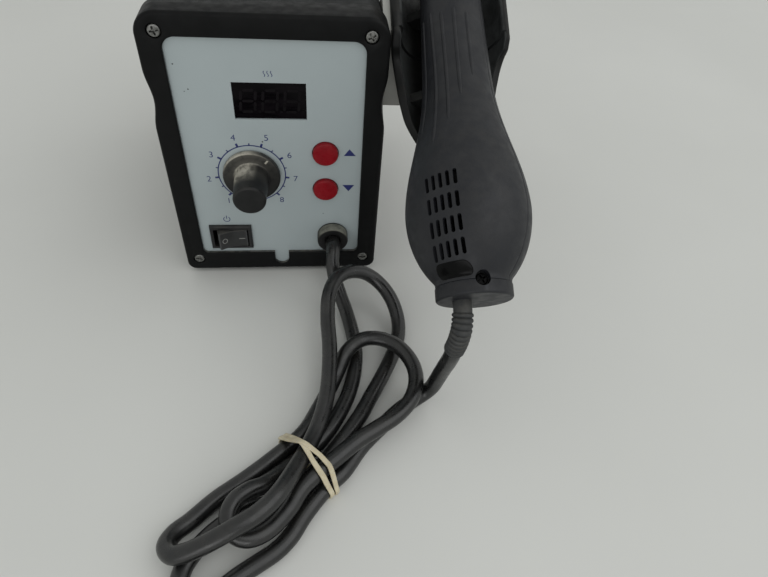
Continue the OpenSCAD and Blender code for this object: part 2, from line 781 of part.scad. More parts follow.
// Rocker: two faces that meet over the pivot, with the right side pressed in
module power_rocker() {
  flat = rocker_swing / 2;
  color("#232426") placed() translate([switch_x, rocker_axis_y, switch_z]) {
    translate([0, 0, -rocker_h / 2]) linear_extrude(rocker_h) rotate(flat) polygon([
      [-rocker_tip, -rocker_lift], [0, rocker_dip - rocker_lift], [rocker_tip, -rocker_lift],
      [rocker_tip, 0], [rocker_root, rocker_root], [-rocker_root, rocker_root], [-rocker_tip, 0]]);
    cylinder(r = rocker_pin_r, h = rocker_h + 2 * rocker_pin_end, center = true);
  }
}

module cord_gland() {
  r = gland_dia / 2;
  inner = panel_t + gland_thread;
  color("#222426") placed() translate([gland_x, 0, gland_z]) rotate([90, 0, 0])
    translate([0, 0, -panel_y - inner]) rotate_extrude($fn = 96) difference() {
      union() {
        square([gland_neck_r, inner + over]);
        translate([0, inner]) square([r, gland_proud - gland_edge]);
        translate([0, inner]) square([r - gland_edge, gland_proud]);
        translate([r - gland_edge, inner + gland_proud - gland_edge]) circle(gland_edge);
      }
      translate([0, -over]) square([cord_r + slip, inner + gland_proud + 2 * over]);
    }
}
module gland_nut() {
  at = [gland_x, gland_z];
  color("#2a2b2d") placed() difference() {
    bar(at, gland_dia / 2 / cos(30), panel_back, panel_back + gland_nut_t, 6);
    bar(at, gland_neck_r + thread_gap, panel_back - over, panel_back + gland_nut_t + over);
  }
}

module bezel_screws() {
  color("#a7a9a6") placed() for (s = corner_screws)
    translate([s.x, screw_sink, s.y])
      screw(screw_head_r, screw_head_h - screw_sink, screw_r, bezel_d - screw_sink);
}
module rear_screws() {
  color("#a7a9a6") placed() at_rear() for (s = corner_screws)
    translate([s.x, screw_sink, s.y])
      screw(screw_head_r, screw_head_h - screw_sink, screw_r, bezel_d - screw_sink);
}

// Lug that a bezel screw threads into, welded to the case at depth lug_y
module lug(at, x0, z0, x1, z1) {
  difference() {
    slab(lug_y, lug_y + lug_t) polygon([[x0, z0], [x1, z0], [x1, z1], [x0, z1]]);
    bar(at, screw_r + thread_gap, lug_y - over, lug_y + lug_t + over);
  }
}

// Sheet metal cover: an arch with round shoulders, vent slots and two lugs at each end
side_screw_in = 30;
side_screw_y = [side_screw_in, station_d - side_screw_in];
side_screw_z = 12;
vent_in = 62;
vent_y = station_d - vent_in;
vent_z = 96;
vent_len = 26;
vent_pitch = 5.6;
vent_w = 2.4;
module case_cover() {
  color("#2b2d2e") placed() {
    difference() {
      slab(cover_y0, cover_y1) difference() {
        case_2d(0);
        case_2d(cover_t);
        translate([-half_w, 0]) square([bezel_w, cover_low + low_corner_r]);
      }
      for (y = side_screw_y) translate([0, y, side_screw_z]) rotate([0, 90, 0])
        cylinder(r = screw_r + slip, h = bezel_w, center = true);
      for (i = [0:side_slots - 1]) translate([0, vent_y + i * vent_pitch, vent_z]) rotate([90, 0, 90])
        linear_extrude(bezel_w, center = true) rotate(90) slot_2d(vent_len, vent_w);
      for (t = bracket_bolts) bracket_bolt_place(t) cylinder(r = screw_r + slip, h = bolt_len, center = true);
    }
    for (rear = [false, true], s = [-1, 1]) cover_lug(rear, s);
  }
}
module cover_lug(rear, side) {
  in = cover_half - cover_t;
  x0 = side > 0 ? top_screw.x - boss_r : -in + 2;
  x1 = side > 0 ? in - 2 : -top_screw.x + boss_r;
  translate([0, rear ? station_d : 0, 0]) mirror([0, rear ? 1 : 0, 0])
    intersection() {
      lug([side * top_screw.x, top_screw.y], x0, top_screw.y - boss_r, x1, cover_top - cover_t + 0.05);
      slab(0, bezel_d + over) case_2d(cover_t / 2);
    }
}

// Base plate with upturned flanges, foot holes and two lugs at each end
foot_x = 36;
foot_in = 22;
foot_y = [foot_in, station_d - foot_in];
foot_stem_r = 2.4;
foot_barb_r = 3.4;
foot_tip_r = 1.8;
foot_barb_h = 2.8;
foot_draft = 1;
base_bend = low_corner_r - skin;
flange_in = 8;
lug_in = 1;
// Profile of the plate with its bent edges, up to a height
module base_2d(h) {
  top = cover_low + base_bend + 2 * flange_h;
  intersection() {
    difference() {
      plate_2d(-base_half, cover_low, base_half, top, base_bend, base_bend);
      plate_2d(base_t - base_half, base_top, base_half - base_t, top + over,
               base_bend, base_bend - base_t);
    }
    translate([-half_w, cover_low]) square([bezel_w, h]);
  }
}
module base_plate() {
  color("#8e9190") placed() {
    difference() {
      union() {
        slab(cover_y0, cover_y1) base_2d(base_bend);
        slab(cover_y0 + flange_in, cover_y1 - flange_in) base_2d(flange_h);
      }
      for (x = [-1, 1]) {
        bar([x * low_screw.x, low_screw.y], boss_r + slip, cover_y0 - over, lug_y);
        at_rear() bar([x * low_screw.x, low_screw.y], boss_r + slip, cover_y0 - over, lug_y);
      }
      for (x = [-1, 1], y = foot_y) translate([x * foot_x, y, cover_low - over])
        cylinder(r = foot_stem_r + slip, h = base_t + 2 * over);
      for (y = side_screw_y) translate([0, y, side_screw_z]) rotate([0, 90, 0])
        cylinder(r = screw_r + thread_gap, h = bezel_w, center = true);
      for (x = [-1, 1]) translate([x * strap_hole_x, core_y, cover_low - over])
        cylinder(r = screw_r + slip, h = base_t + 2 * over);
      for (i = [0:base_slots - 1])
        translate([(i - (base_slots - 1) / 2) * base_slot_pitch, base_slot_y, cover_low - over])
          linear_extrude(base_t + 2 * over) rotate(90) slot_2d(base_slot_len, base_slot_w);
    }
    for (rear = [false, true], s = [-1, 1]) base_lug(rear, s);
  }
}
module base_lug(rear, side) {
  x0 = side > 0 ? low_screw.x - boss_r : lug_in - base_half;
  x1 = side > 0 ? base_half - lug_in : boss_r - low_screw.x;
  translate([0, rear ? station_d : 0, 0]) mirror([0, rear ? 1 : 0, 0])
    lug([side * low_screw.x, low_screw.y], x0, cover_low + base_t - 0.05, x1, low_screw.y + boss_r);
}
module cover_screws() {
  color("#8f918f") placed() for (side = [-1, 1], y = side_screw_y)
    translate([side * cover_half, y, side_screw_z]) rotate([0, 0, side * 90])
      screw(small_head_r, small_head_h, screw_r, cover_t + base_t + 3);
}
module rubber_feet() {
  r = foot_dia / 2;
  color("#17181a") placed() for (x = [-1, 1], y = foot_y) translate([x * foot_x, y, 0])
    rotate_extrude($fn = 48) {
      polygon([[0, 0], [r - foot_draft, 0], [r, cover_low], [0, cover_low]]);
      square([foot_stem_r, base_top + over]);
      translate([0, base_top + slip])
        polygon([[0, 0], [foot_barb_r, 0], [foot_tip_r, foot_barb_h], [0, foot_barb_h]]);
    }
}

module rear_panel() {
  color("#aeb4b4") placed() slab(rear_panel_y, rear_panel_y + panel_t) difference() {
    panel_2d(0);
    translate([0, inlet_z]) square([inlet_w + 2 * slip, inlet_h + 2 * slip], center = true);
    for (i = [0:rear_slots - 1], x = [-1, 1])
      translate([x * rear_slot_x, rear_slot_z + i * rear_slot_pitch]) slot_2d(rear_slot_len, vent_w);
  }
}

// Mains inlet: a flanged shell with a deep socket, two cut lower corners and three pins
module inlet_2d(w, h, cut) {
  polygon([[-w / 2, -h / 2 + cut], [-w / 2 + cut, -h / 2], [w / 2 - cut, -h / 2], [w / 2, -h / 2 + cut],
           [w / 2, h / 2], [-w / 2, h / 2]]);
}
module mains_inlet() {
  color("#202123") placed() translate([0, 0, inlet_z]) difference() {
    union() {
      slab(inlet_y + panel_t, inlet_y + panel_t + inlet_flange) 
        plate_2d(-inlet_flange_w / 2, -inlet_flange_h / 2, inlet_flange_w / 2, inlet_flange_h / 2, 2, 2);
      slab(inlet_y + panel_t - inlet_depth, inlet_y + panel_t + over / 10)
        inlet_2d(inlet_w, inlet_h, inlet_cut);
    }
    slab(inlet_y + panel_t + inlet_flange - socket_d, inlet_y + panel_t + inlet_flange + over)
      inlet_2d(socket_w, socket_h, inlet_cut);
    for (p = inlet_pin_places) slab(0, station_d) translate(p)
      square([inlet_pin_w + 2 * thread_gap, inlet_pin_h + 2 * thread_gap], center = true);
  }
}
inlet_pin_places = [[-7, -1.5], [0, 2.5], [7, -1.5]];
module inlet_pins() {
  front = inlet_y + panel_t + inlet_flange - inlet_pin_sink;
  color("#cfc9b4") placed() for (p = inlet_pin_places) translate([p.x, 0, inlet_z + p.y])
    slab(inlet_y + panel_t - inlet_depth - inlet_tab, front)
      square([inlet_pin_w, inlet_pin_h], center = true);
}

// Transformer on the base: laminated core, coil on its middle leg and a strap with two feet
strap_hole_x = core_w / 2 + strap_foot - 4;
module transformer_core() {
  color("#6d6f70") placed() translate([0, core_y, base_top]) difference() {
    translate([-core_w / 2, -core_d / 2, 0]) cube([core_w, core_d, core_h]);
    for (x = [-1, 1]) translate([x * (leg_w + window_w) / 2, 0, core_h / 2])
      cube([window_w, core_d + over, window_h], center = true);
  }
}
module transformer_coil() {
  w = leg_w + 2 * window_w - 2 * slip;
  h = window_h - 2 * slip;
  color("#b08a3c") placed() translate([0, core_y, base_top + core_h / 2]) difference() {
    translate([0, 0, -h / 2]) linear_extrude(h) 
      plate_2d(-w / 2, -core_d / 2 - coil_out, w / 2, core_d / 2 + coil_out, coil_r, coil_r);
    cube([leg_w + 2 * slip, core_d + 2 * slip, core_h], center = true);
  }
}
module transformer_strap() {
  outer = core_w / 2 + slip + strap_t;
  color("#9b9d9a") placed() translate([0, core_y, base_top]) difference() {
    union() {
      slab(strap_in - core_d / 2, core_d / 2 - strap_in) difference() {
        translate([-outer, 0]) square([2 * outer, core_h + slip + strap_t]);
        translate([-outer + strap_t, -over]) square([2 * (outer - strap_t), core_h + slip + over]);
      }
      for (x = [-1, 1]) translate([x * (outer + strap_foot / 2 - over / 10), 0, strap_t / 2])
        cube([strap_foot, core_d - 2 * strap_in, strap_t], center = true);
    }
    for (x = [-1, 1]) translate([x * strap_hole_x, 0, -over])
      cylinder(r = screw_r + slip, h = strap_t + 2 * over);
  }
}
module strap_screws() {
  color("#a3a5a2") placed() for (x = [-1, 1])
    translate([x * strap_hole_x, core_y, base_top + strap_t]) rotate([-90, 0, 0])
      screw(small_head_r, small_head_h, screw_r, base_t + strap_t + 1);
}

// Holder: a trough along the handle with raised wings, a sloping front edge and two saddles
module holder_2d(r, up) {
  intersection() {
    circle(r, $fn = 128);
    translate([-r, 0]) square(2 * r);
  }
  translate([-r, -up]) square([2 * r, up + over / 10]);
}
module handle_holder() {
  low = lip_start - lip_run * holder_r;
  rim = holder_t / 2;
  reach = holder_r + wing_h + over;
  color("#26282a") on_handle() difference() {
    translate([holder_off, 0, 0]) {
      translate([0, 0, low]) linear_extrude(holder_end - low) {
        difference() {
          holder_2d(holder_r, wing_h - rim);
          holder_2d(holder_in, wing_h + over);
        }
        for (x = [-1, 1]) translate([x * (holder_r - rim), rim - wing_h]) circle(rim);
      }
      for (t = saddles) translate([0, 0, t]) linear_extrude(saddle_t) difference() {
        intersection() {
          circle(holder_in + over / 2, $fn = 128);
          translate([-holder_r, 2]) square(2 * holder_r);
        }
        translate([-holder_off, 0]) circle(handle_r(t) + seat_gap, $fn = 128);
      }
    }
    rotate([90, 0, 90]) linear_extrude(3 * holder_r, center = true)
      polygon([[-reach, lip_start + reach * lip_run], [reach, lip_start - reach * lip_run],
               [-reach, lip_start - reach * lip_run]]);
    translate([holder_off, holder_in + magnet_t, magnet_at]) rotate([90, 0, 0])
      cylinder(r = magnet_r + thread_gap, h = holder_in);
    for (t = bracket_bolts) holder_bolt_place(t) {
      cylinder(r = screw_r + slip, h = holder_r, center = true);
      translate([0, 0, -holder_in]) cylinder(r = small_head_r + slip, h = holder_in + small_seat);
    }
  }
}
// A holder screw's line, from the trough towards the bracket, seated on the wall's inside
module holder_bolt_place(t) {
  translate([holder_off - holder_seat, bolt_drop, t]) rotate([0, -90, 0]) children();
}
module holder_screws() {
  color("#9fa19e") on_handle() for (t = bracket_bolts) holder_bolt_place(t)
    translate([0, 0, small_seat]) rotate([90, 0, 0])
      screw(small_head_r, small_head_h, screw_r, holder_bolt_len);
}
module holder_magnet() {
  color("#6f7375") on_handle()
    translate([holder_off, holder_in + magnet_t, magnet_at]) rotate([90, 0, 0])
      cylinder(r = magnet_r, h = magnet_t + 0.6);
}
module holder_bracket() {
  color("#8b8c86") placed() difference() {
    handle_axes() difference() {
      translate([bracket_left, -bracket_up, bracket_t0])
        cube([-bracket_left - bracket_in, bracket_drop + bracket_up, bracket_t1 - bracket_t0]);
      translate([holder_off, 0, bracket_t0 - over]) linear_extrude(bracket_t1 - bracket_t0 + 2 * over)
        holder_2d(holder_r + thread_gap, wing_h + over);
      for (t = bracket_bolts) {
        holder_bolt_place(t) cylinder(r = screw_r + thread_gap, h = small_seat + holder_bolt_len + bolt_end);
        translate([bracket_left - over, bracket_drop - bolt_edge, t]) rotate([0, 90, 0])
          cylinder(r = screw_r + thread_gap, h = bolt_len + 2 * over);
      }
    }
    translate([0, bracket_y - station_d, 0]) cube([2 * half_w, station_d, 2 * bezel_top]);
  }
}
// A bracket screw's line from inside the case, along x
module bracket_bolt_place(t) {
  handle_axes() translate([bracket_left, bracket_drop - bolt_edge, t]) rotate([0, 90, 0]) children();
}
module bracket_screws() {
  color("#9fa19e") placed() for (t = bracket_bolts) bracket_bolt_place(t)
    translate([0, 0, -cover_t]) rotate([90, 0, 0])
      screw(small_head_r, small_head_h, screw_r, cover_t + bolt_len);
}

// Handle shells: a revolved bottle shape split along its length, rolled towards the station
module shell_body(grow) {
  rotate_extrude($fn = 128) polygon(concat(shell_side(-grow), reversed(shell_side(shell_t))));
}
module collar_lugs(turns) {
  for (a = turns) turned(a) translate([0, -collar_screw_at, shell_end - collar_lug_len]) difference() {
    cylinder(r = collar_lug_r, h = collar_lug_len);
    translate([0, 0, -over]) cylinder(r = collar_screw_r + thread_gap, h = collar_lug_len + 2 * over);
  }
}
module collar_screw_ways(turns) {
  for (a = turns) turned(a) translate([0, -collar_screw_at, shell_end - collar_lug_len])
    cylinder(r = (collar_screw_r + collar_lug_r) / 2, h = collar_lug_len + over);
}
module half_space(upper) {
  big = 2 * (shell_end + cap_joint);
  translate([-big / 2, upper ? -big : 0, -big / 2]) cube(big);
}
// Runs its children at a turn from the middle of the upper shell
module turned(a) { rotate([0, 0, a]) children(); }
module cap_bore() {
  for (a = [0, 120, 240]) turned(cap_screw_turn + a)
    translate([0, cap_screw_sink - neck_r, -cap_joint]) rotate([90, 0, 0])
      cylinder(r = cap_hole_r, h = neck_r);
}
module label_stamp(grow) {
  turned(label_turn) translate([0, 0, label_at]) rotate([90, 0, 0]) linear_extrude(2 * bulb_r)
    slot_2d(label_w + 2 * grow, label_h + 2 * grow);
}
module upper_shell() {
  color("#2a2c2e") on_handle() turned(handle_roll) {
    difference() {
      intersection() {
        shell_body(0);
        half_space(true);
      }
      collar_screw_ways([collar_turns[0], collar_turns[1]]);
      for (c = [0:slot_cols - 1], r = [0:slot_rows - 1]) let (side = c - (slot_cols - 1) / 2)
        turned(slot_turn)
          translate([side * slot_col_pitch, 0, slot_first - r * slot_pitch + side * slot_rise])
            rotate([90, 0, 0]) linear_extrude(2 * bulb_r) rotate(90) slot_2d(slot_len, slot_w);
      intersection() {
        label_stamp(label_gap);
        rotate_extrude($fn = 128) polygon(concat(shell_side(-over), reversed(shell_side(label_t))));
      }
      cap_bore();
    }
    collar_lugs([collar_turns[0], collar_turns[1]]);
    for (i = [0:4]) let (from = rib_ends[i][0], to = rib_ends[i][1]) intersection() {
      shell_body(rib_h);
      turned((i - 2) * rib_pitch) translate([0, 0, to]) rotate([0, -rib_ends[i][2], 0])
        translate([-rib_w / 2, -2 * bulb_r, from - to]) cube([rib_w, 2 * bulb_r, to - from]);
    }
  }
}
module lower_shell() {
  color("#2a2c2e") on_handle() turned(handle_roll) {
    difference() {
      intersection() {
        shell_body(0);
        half_space(false);
      }
      collar_screw_ways([collar_turns[2]]);
      cap_bore();
    }
    collar_lugs([collar_turns[2]]);
  }
}
module label_plate() {
  color("#101112") on_handle() turned(handle_roll) intersection() {
    label_stamp(0);
    rotate_extrude($fn = 128) polygon(concat(shell_side(-label_proud), reversed(shell_side(label_t))));
  }
}

module end_cap() {
  lip_r = neck_r - shell_t - slip;
  color("#2a2c2e") on_handle() difference() {
    rotate_extrude($fn = 96) translate([0, cap_end]) {
      translate([0, cap_round]) square([cap_r, cap_len - cap_round]);
      translate([cap_r - cap_round, cap_round]) circle(cap_round);
      square([cap_r - cap_round, cap_round + over]);
      square([lip_r, cap_len + cap_lip]);
    }
    translate([0, 0, cap_end + cap_wall]) cylinder(r = lip_r - shell_t, h = cap_len + cap_lip);
    translate([boot_off, 0, cap_end - over]) cylinder(r = boot_neck_r + thread_gap, h = cap_len);
    turned(handle_roll) {
      cap_bore();
      for (a = [0, 120, 240]) turned(cap_screw_turn + a) translate([0, 0, -cap_joint]) rotate([90, 0, 0])
        cylinder(r = screw_r + thread_gap, h = neck_r);
    }
  }
}
module cap_screws() {
  color("#8a8c8a") on_handle() turned(handle_roll) for (a = [0, 120, 240]) turned(cap_screw_turn + a)
    translate([0, cap_screw_sink - neck_r, -cap_joint]) screw(cap_screw_r, screw_head_h, screw_r, cap_lip);
}

// Front end: collar plate, flanged barrel and the ceramic heater core inside it
module collar_screw_places() {
  turned(handle_roll) for (a = collar_turns) turned(a) translate([0, -collar_screw_at, 0]) children();
}
module front_collar() {
  color("#3a3c3d") on_handle() difference() {
    translate([0, 0, shell_end]) rotate_extrude($fn = 96) {
      square([flare_r + 1, collar_t - 0.8]);
      square([flare_r + 0.2, collar_t]);
      translate([flare_r + 0.2, collar_t - 0.8]) circle(0.8);
    }
    translate([0, 0, shell_end - over]) cylinder(r = barrel_r + collar_slack, h = collar_t + 2 * over);
    collar_screw_places() translate([0, 0, shell_end - over])
      cylinder(r = collar_screw_r + slip, h = collar_t + 2 * over);
  }
}
module collar_screws() {
  color("#b3b5b2") on_handle() collar_screw_places() translate([0, 0, collar_front]) rotate([-90, 0, 0])
    screw(1.9, 1.2, collar_screw_r, collar_t + collar_lug_len - 1);
}
module heater_barrel() {
  color("#a9abab") on_handle() rotate_extrude($fn = 96) {
    translate([barrel_r - barrel_t, barrel_back]) square([barrel_t, barrel_front - barrel_back]);
    translate([barrel_r - barrel_t, shell_end - barrel_flange_t])
      square([barrel_flange_r - barrel_r + barrel_t, barrel_flange_t]);
  }
}
module heater_core() {
  rear = barrel_r - barrel_t - thread_gap;
  color("#d8d4c8") on_handle() difference() {
    union() {
      for (t = [core_back, barrel_front - core_sink - core_disc])
        translate([0, 0, t]) cylinder(r = rear, h = core_disc);
      translate([0, 0, core_back]) cylinder(r = core_r, h = barrel_front - core_back - core_sink);
    }
    for (a = [0:60:300]) turned(a) translate([0, channel_at, core_back - over])
      cylinder(r = channel_r, h = barrel_front - core_back, $fn = 24);
    translate([0, 0, core_back - over]) cylinder(r = channel_r, h = barrel_front - core_back, $fn = 24);
  }
}

// Fan: a ring with three struts carries the motor, and the bladed hub spins on its pin
module fan_housing() {
  color("#303234") on_handle() {
    translate([0, 0, fan_back]) rotate_extrude($fn = 96)
      translate([fan_ring_r - fan_ring_t, 0]) square([fan_ring_t, fan_front - fan_back]);
    for (a = [30, 150, 270]) turned(a) translate([-1.2, motor_r + slip, fan_back])
      cube([2.4, fan_ring_r - fan_ring_t - motor_r, 3]);
    translate([0, 0, fan_back]) rotate_extrude($fn = 64) translate([motor_r + slip, 0]) square([1.4, 3]);
  }
}
module fan_motor() {
  color("#5b5e60") on_handle() difference() {
    union() {
      translate([0, 0, motor_back]) cylinder(r = motor_r, h = motor_front - motor_back);
      translate([0, 0, fan_back - 1.4]) cylinder(r = motor_r + 1.2, h = 1.4);
    }
    translate([0, 0, motor_front - 10]) cylinder(r = fan_pin_r + play, h = 10 + over);
  }
}
module fan_impeller() {
  hub0 = motor_front + run_gap;
  color("#44474a") on_handle() {
    translate([0, 0, motor_front - 9]) cylinder(r = fan_pin_r, h = 12);
    translate([0, 0, hub0]) cylinder(r = fan_hub_r, h = fan_front - hub0 - 1);
    for (i = [0:fan_blades - 1]) turned(i * 360 / fan_blades)
      translate([fan_hub_r - 0.6, 0, (hub0 + fan_front - 1) / 2]) rotate([38, 0, 0])
        translate([0, -0.6, -6]) cube([fan_tip_r - fan_hub_r, 1.2, 12]);
  }
}
reed_r = 1.4;
reed_len = 14;
reed_lead_r = 0.4;
reed_lead = 5;
reed_gap = 0.3;
module reed_switch() {
  color("#b9c7b4") on_handle()
    translate([0, handle_r(magnet_at) - shell_t - reed_r - reed_gap, magnet_at - reed_len / 2]) {
      cylinder(r = reed_r, h = reed_len, $fn = 24);
      translate([0, 0, -reed_lead]) cylinder(r = reed_lead_r, h = reed_len + 2 * reed_lead, $fn = 16);
    }
}

// Cord: smooth curve through the route, swept as one tube; the boot has a ring pair for each rib
function bend(p, i, u) = let (n = len(p) - 1)
  let (a = p[max(0, i - 1)], b = p[i], c = p[min(n, i + 1)], d = p[min(n, i + 2)])
  ((2 * b) + (c - a) * u + (2 * a - 5 * b + 4 * c - d) * u * u + (3 * b - a - 3 * c + d) * u * u * u) / 2;
function curve(p, steps) =
  concat([for (i = [0:len(p) - 2], k = [0:steps - 1]) bend(p, i, k / steps)], [p[len(p) - 1]]);
function unit(v) = v / norm(v);
function way(p, i) = unit(p[min(len(p) - 1, i + 1)] - p[max(0, i - 1)]);
function carried(v, from, to) = let (axis = cross(from, to), c = from * to)
  v + cross(axis, v) + cross(axis, cross(axis, v)) / (1 + c);
function frames(p, i, side) = i == len(p) - 1 ? [side]
  : concat([side], frames(p, i + 1, carried(side, way(p, i), way(p, i + 1))));
module tube(p, radii, sides) {
  first = unit(cross(way(p, 0), [0.3, 0.2, 1]));
  across = frames(p, 0, first);
  loft([for (i = [0:len(p) - 1]) let (d = way(p, i), s = across[i], u = cross(s, d))
    [for (k = [0:sides - 1]) let (a = 360 * k / sides) p[i] + radii[i] * (cos(a) * s - sin(a) * u)]]);
}
cord_line = curve(cord_route, cord_steps);
function self_gaps(p, r, apart) =
  [for (i = [0:len(p) - 1], j = [i + apart:1:len(p) - 1]) norm(p[i] - p[j]) - 2 * r];
echo(cord_gap = min(self_gaps(curve(cord_route, 5), cord_r, 16)), wanted = cord_gap_wanted);
module handle_cord() { color("#1a1b1c") placed() tube(cord_line, [for (p = cord_line) cord_r], cord_sides); }

boot_out = [0, -cos(handle_tilt), -sin(handle_tilt)];
boot_start = [handle_x + boot_off, handle_y, handle_z] - cap_end * boot_out;
boot_route = concat([for (d = [-4, 0, 4]) boot_start + d * boot_out], boot_bend, [boot_end]);
boot_count = 2 * boot_ribs;
boot_fine = curve(boot_route, boot_steps);
boot_rib_step = (len(boot_fine) - 1 - boot_rib_from) / boot_count;
boot_line = concat([for (i = [0:2]) boot_fine[i * boot_neck_step]],
                   [for (i = [0:boot_count]) boot_fine[round(boot_rib_from + i * boot_rib_step)]]);
module cord_boot() {
  color("#2f3133") placed() tube(boot_line, [for (i = [0:len(boot_line) - 1])
    i < 3 ? boot_neck_r : i % 2 == 0 ? boot_r - boot_groove : boot_r], 8);
}

// Rubber band round the gathered strands
module band_2d(r) {
  hull() for (p = band_rest) translate(p) circle(r, $fn = 24);
}
module rubber_band() {
  color("#d8cfa0") placed() translate([band_at.x, band_at.y, 0]) rotate([0, 0, band_turn - 90])
    slab(-band_w / 2, band_w / 2) difference() {
      band_2d(cord_r + 0.35 + band_t);
      band_2d(cord_r + 0.35);
    }
}

front_bezel();
front_panel();
display_window();
display_module();
control_board();
board_posts();
board_screws();
tact_switches();
airflow_pot();
switch_frame();
switch_terminals();
cord_gland();
gland_nut();
bezel_screws();
case_cover();
cover_screws();
base_plate();
rubber_feet();
rear_bezel();
rear_panel();
rear_screws();
mains_inlet();
inlet_pins();
transformer_core();
transformer_coil();
transformer_strap();
strap_screws();
holder_bracket();
bracket_screws();
handle_holder();
holder_screws();
holder_magnet();
airflow_knob();
pot_shaft();
button_up();
button_down();
power_rocker();
upper_shell();
lower_shell();
label_plate();
end_cap();
cap_screws();
cord_boot();
front_collar();
collar_screws();
heater_barrel();
heater_core();
fan_housing();
fan_motor();
fan_impeller();
reed_switch();
handle_cord();
rubber_band();
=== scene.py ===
"""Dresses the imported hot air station: mouldings, print, cord, band, materials, light and camera."""
import json
import math

import bmesh
import bpy
import numpy as np
from mathutils import Matrix, Vector, geometry


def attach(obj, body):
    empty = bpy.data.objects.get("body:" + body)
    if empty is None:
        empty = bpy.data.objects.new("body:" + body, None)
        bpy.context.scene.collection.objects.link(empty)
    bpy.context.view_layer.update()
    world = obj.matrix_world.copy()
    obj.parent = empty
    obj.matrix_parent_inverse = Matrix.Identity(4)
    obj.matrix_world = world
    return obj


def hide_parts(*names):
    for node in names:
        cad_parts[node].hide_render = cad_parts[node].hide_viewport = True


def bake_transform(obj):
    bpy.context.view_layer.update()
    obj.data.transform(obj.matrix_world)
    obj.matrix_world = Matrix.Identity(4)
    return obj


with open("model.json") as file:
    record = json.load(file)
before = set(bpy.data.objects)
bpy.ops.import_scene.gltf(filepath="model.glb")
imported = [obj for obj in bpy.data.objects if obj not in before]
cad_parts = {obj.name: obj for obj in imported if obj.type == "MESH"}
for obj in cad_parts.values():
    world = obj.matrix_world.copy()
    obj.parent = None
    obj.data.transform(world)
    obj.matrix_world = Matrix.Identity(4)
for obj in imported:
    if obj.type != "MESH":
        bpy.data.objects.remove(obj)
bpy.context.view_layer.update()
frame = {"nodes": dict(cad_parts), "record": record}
nodes = frame["nodes"]
scene = bpy.context.scene
SLOT_OF = {part["node"]: part["material_slot"] for part in frame["record"]["subparts"]}

# Sizes are in millimetres in the building position of the CAD source: x right, y away from the
# user with the front face at 0, z up from the table. row() turns them into the shared frame.
MM = 0.001
ORIGIN = np.array([26.8, 27.865966, 0.0])
DIAL = (-11.2, 63.3)
HOLDER_X = 77.25  # middle of the handle holder


def row(points):
    return (np.asarray(points, float) - ORIGIN) * MM


def to_scene(name, data):
    thing = bpy.data.objects.new(name, data)
    scene.collection.objects.link(thing)
    return thing


# Camera: solved from the photograph's own straight edges
CAMERA_AT = (17.819, -231.227, 230.889)
CAMERA_FORWARD = Vector((0.11582, 0.67915, -0.72481)).normalized()
CAMERA_RIGHT = Vector((0.99308, -0.09353, 0.07105)).normalized()
SENSOR, LENS, CLIP = 36.0, 27.32, 0.01
camera_data = bpy.data.cameras.new("photo_camera")
camera_data.sensor_width, camera_data.lens, camera_data.clip_start = SENSOR, LENS, CLIP
camera = to_scene("photo_camera", camera_data)
turn = Matrix((CAMERA_RIGHT, CAMERA_RIGHT.cross(CAMERA_FORWARD), -CAMERA_FORWARD)).transposed()
camera.matrix_world = Matrix.Translation(Vector(row(CAMERA_AT))) @ turn.to_4x4()
scene.camera = camera

# Node materials, kept by name
MATERIALS = {}


class Paint:
    """A node tree with a principled shader and a few short ways to add to it."""

    def __init__(self, name, metal=0.0, spec=0.5):
        self.name = name
        self.mat = bpy.data.materials.new(name)
        self.mat.use_nodes = True
        self.tree = self.mat.node_tree
        self.shader = self.tree.nodes["Principled BSDF"]
        self.put(self.shader, {"Metallic": metal, "Specular IOR Level": spec})
        coord = self.node("TexCoord", {})
        self.where, self.normal = coord.outputs["Object"], coord.outputs["Normal"]

    def put(self, node, inputs):
        """Links the sockets and sets the plain values; a colour has three numbers."""
        for key, value in inputs.items():
            socket = node.inputs[key]
            if isinstance(value, bpy.types.NodeSocket):
                self.tree.links.new(value, socket)
            else:
                socket.default_value = (*value, 1.0) if socket.type == "RGBA" else value

    def node(self, kind, inputs, **settings):
        node = self.tree.nodes.new("ShaderNode" + kind)
        for key, value in settings.items():
            setattr(node, key, value)
        self.put(node, inputs)
        return node

    def noise(self, scale, detail=3.0, rough=0.55, stretch=None, distort=0.0):
        where = self.where
        if stretch:
            where = self.node("Mapping", {"Vector": where, "Scale": stretch}).outputs["Vector"]
        inputs = {"Vector": where, "Scale": scale, "Detail": detail, "Roughness": rough, "Distortion": distort}
        return self.node("TexNoise", inputs).outputs["Fac"]

    def ramp(self, value, low, high, to_low=0.0, to_high=1.0):
        inputs = {"Value": value, "From Min": low, "From Max": high, "To Min": to_low, "To Max": to_high}
        return self.node("MapRange", inputs, interpolation_type="SMOOTHSTEP").outputs["Result"]

    def cloud(self, scale, detail=4, to_low=0.0, to_high=1.0):
        """Soft patches that reach both ends of the range."""
        return self.ramp(self.noise(scale, detail), 0.3, 0.7, to_low, to_high)

    def math(self, kind, first, *rest):
        for value in rest:
            first = self.node("Math", {0: first, 1: value}, operation=kind).outputs[0]
        return first

    def mix(self, factor, a, b):
        return self.node("Mix", {0: factor, 6: a, 7: b}, data_type="RGBA").outputs[2]

    def facing(self, axis):
        """How far the surface's own normal points along an axis of the frame."""
        return self.node("SeparateXYZ", {0: self.normal}).outputs[axis]

    def place(self, axis):
        return self.node("SeparateXYZ", {0: self.where}).outputs[axis]

    def edges(self, low, high):
        return self.ramp(self.node("NewGeometry", {}).outputs["Pointiness"], low, high)

    def bump(self, height, depth):
        node = self.node("Bump", {"Strength": 1.0, "Distance": depth * MM, "Height": height})
        self.put(self.shader, {"Normal": node.outputs["Normal"]})

    def done(self, color, rough):
        self.put(self.shader, {"Base Color": color, "Roughness": rough})
        MATERIALS[self.name] = self.mat


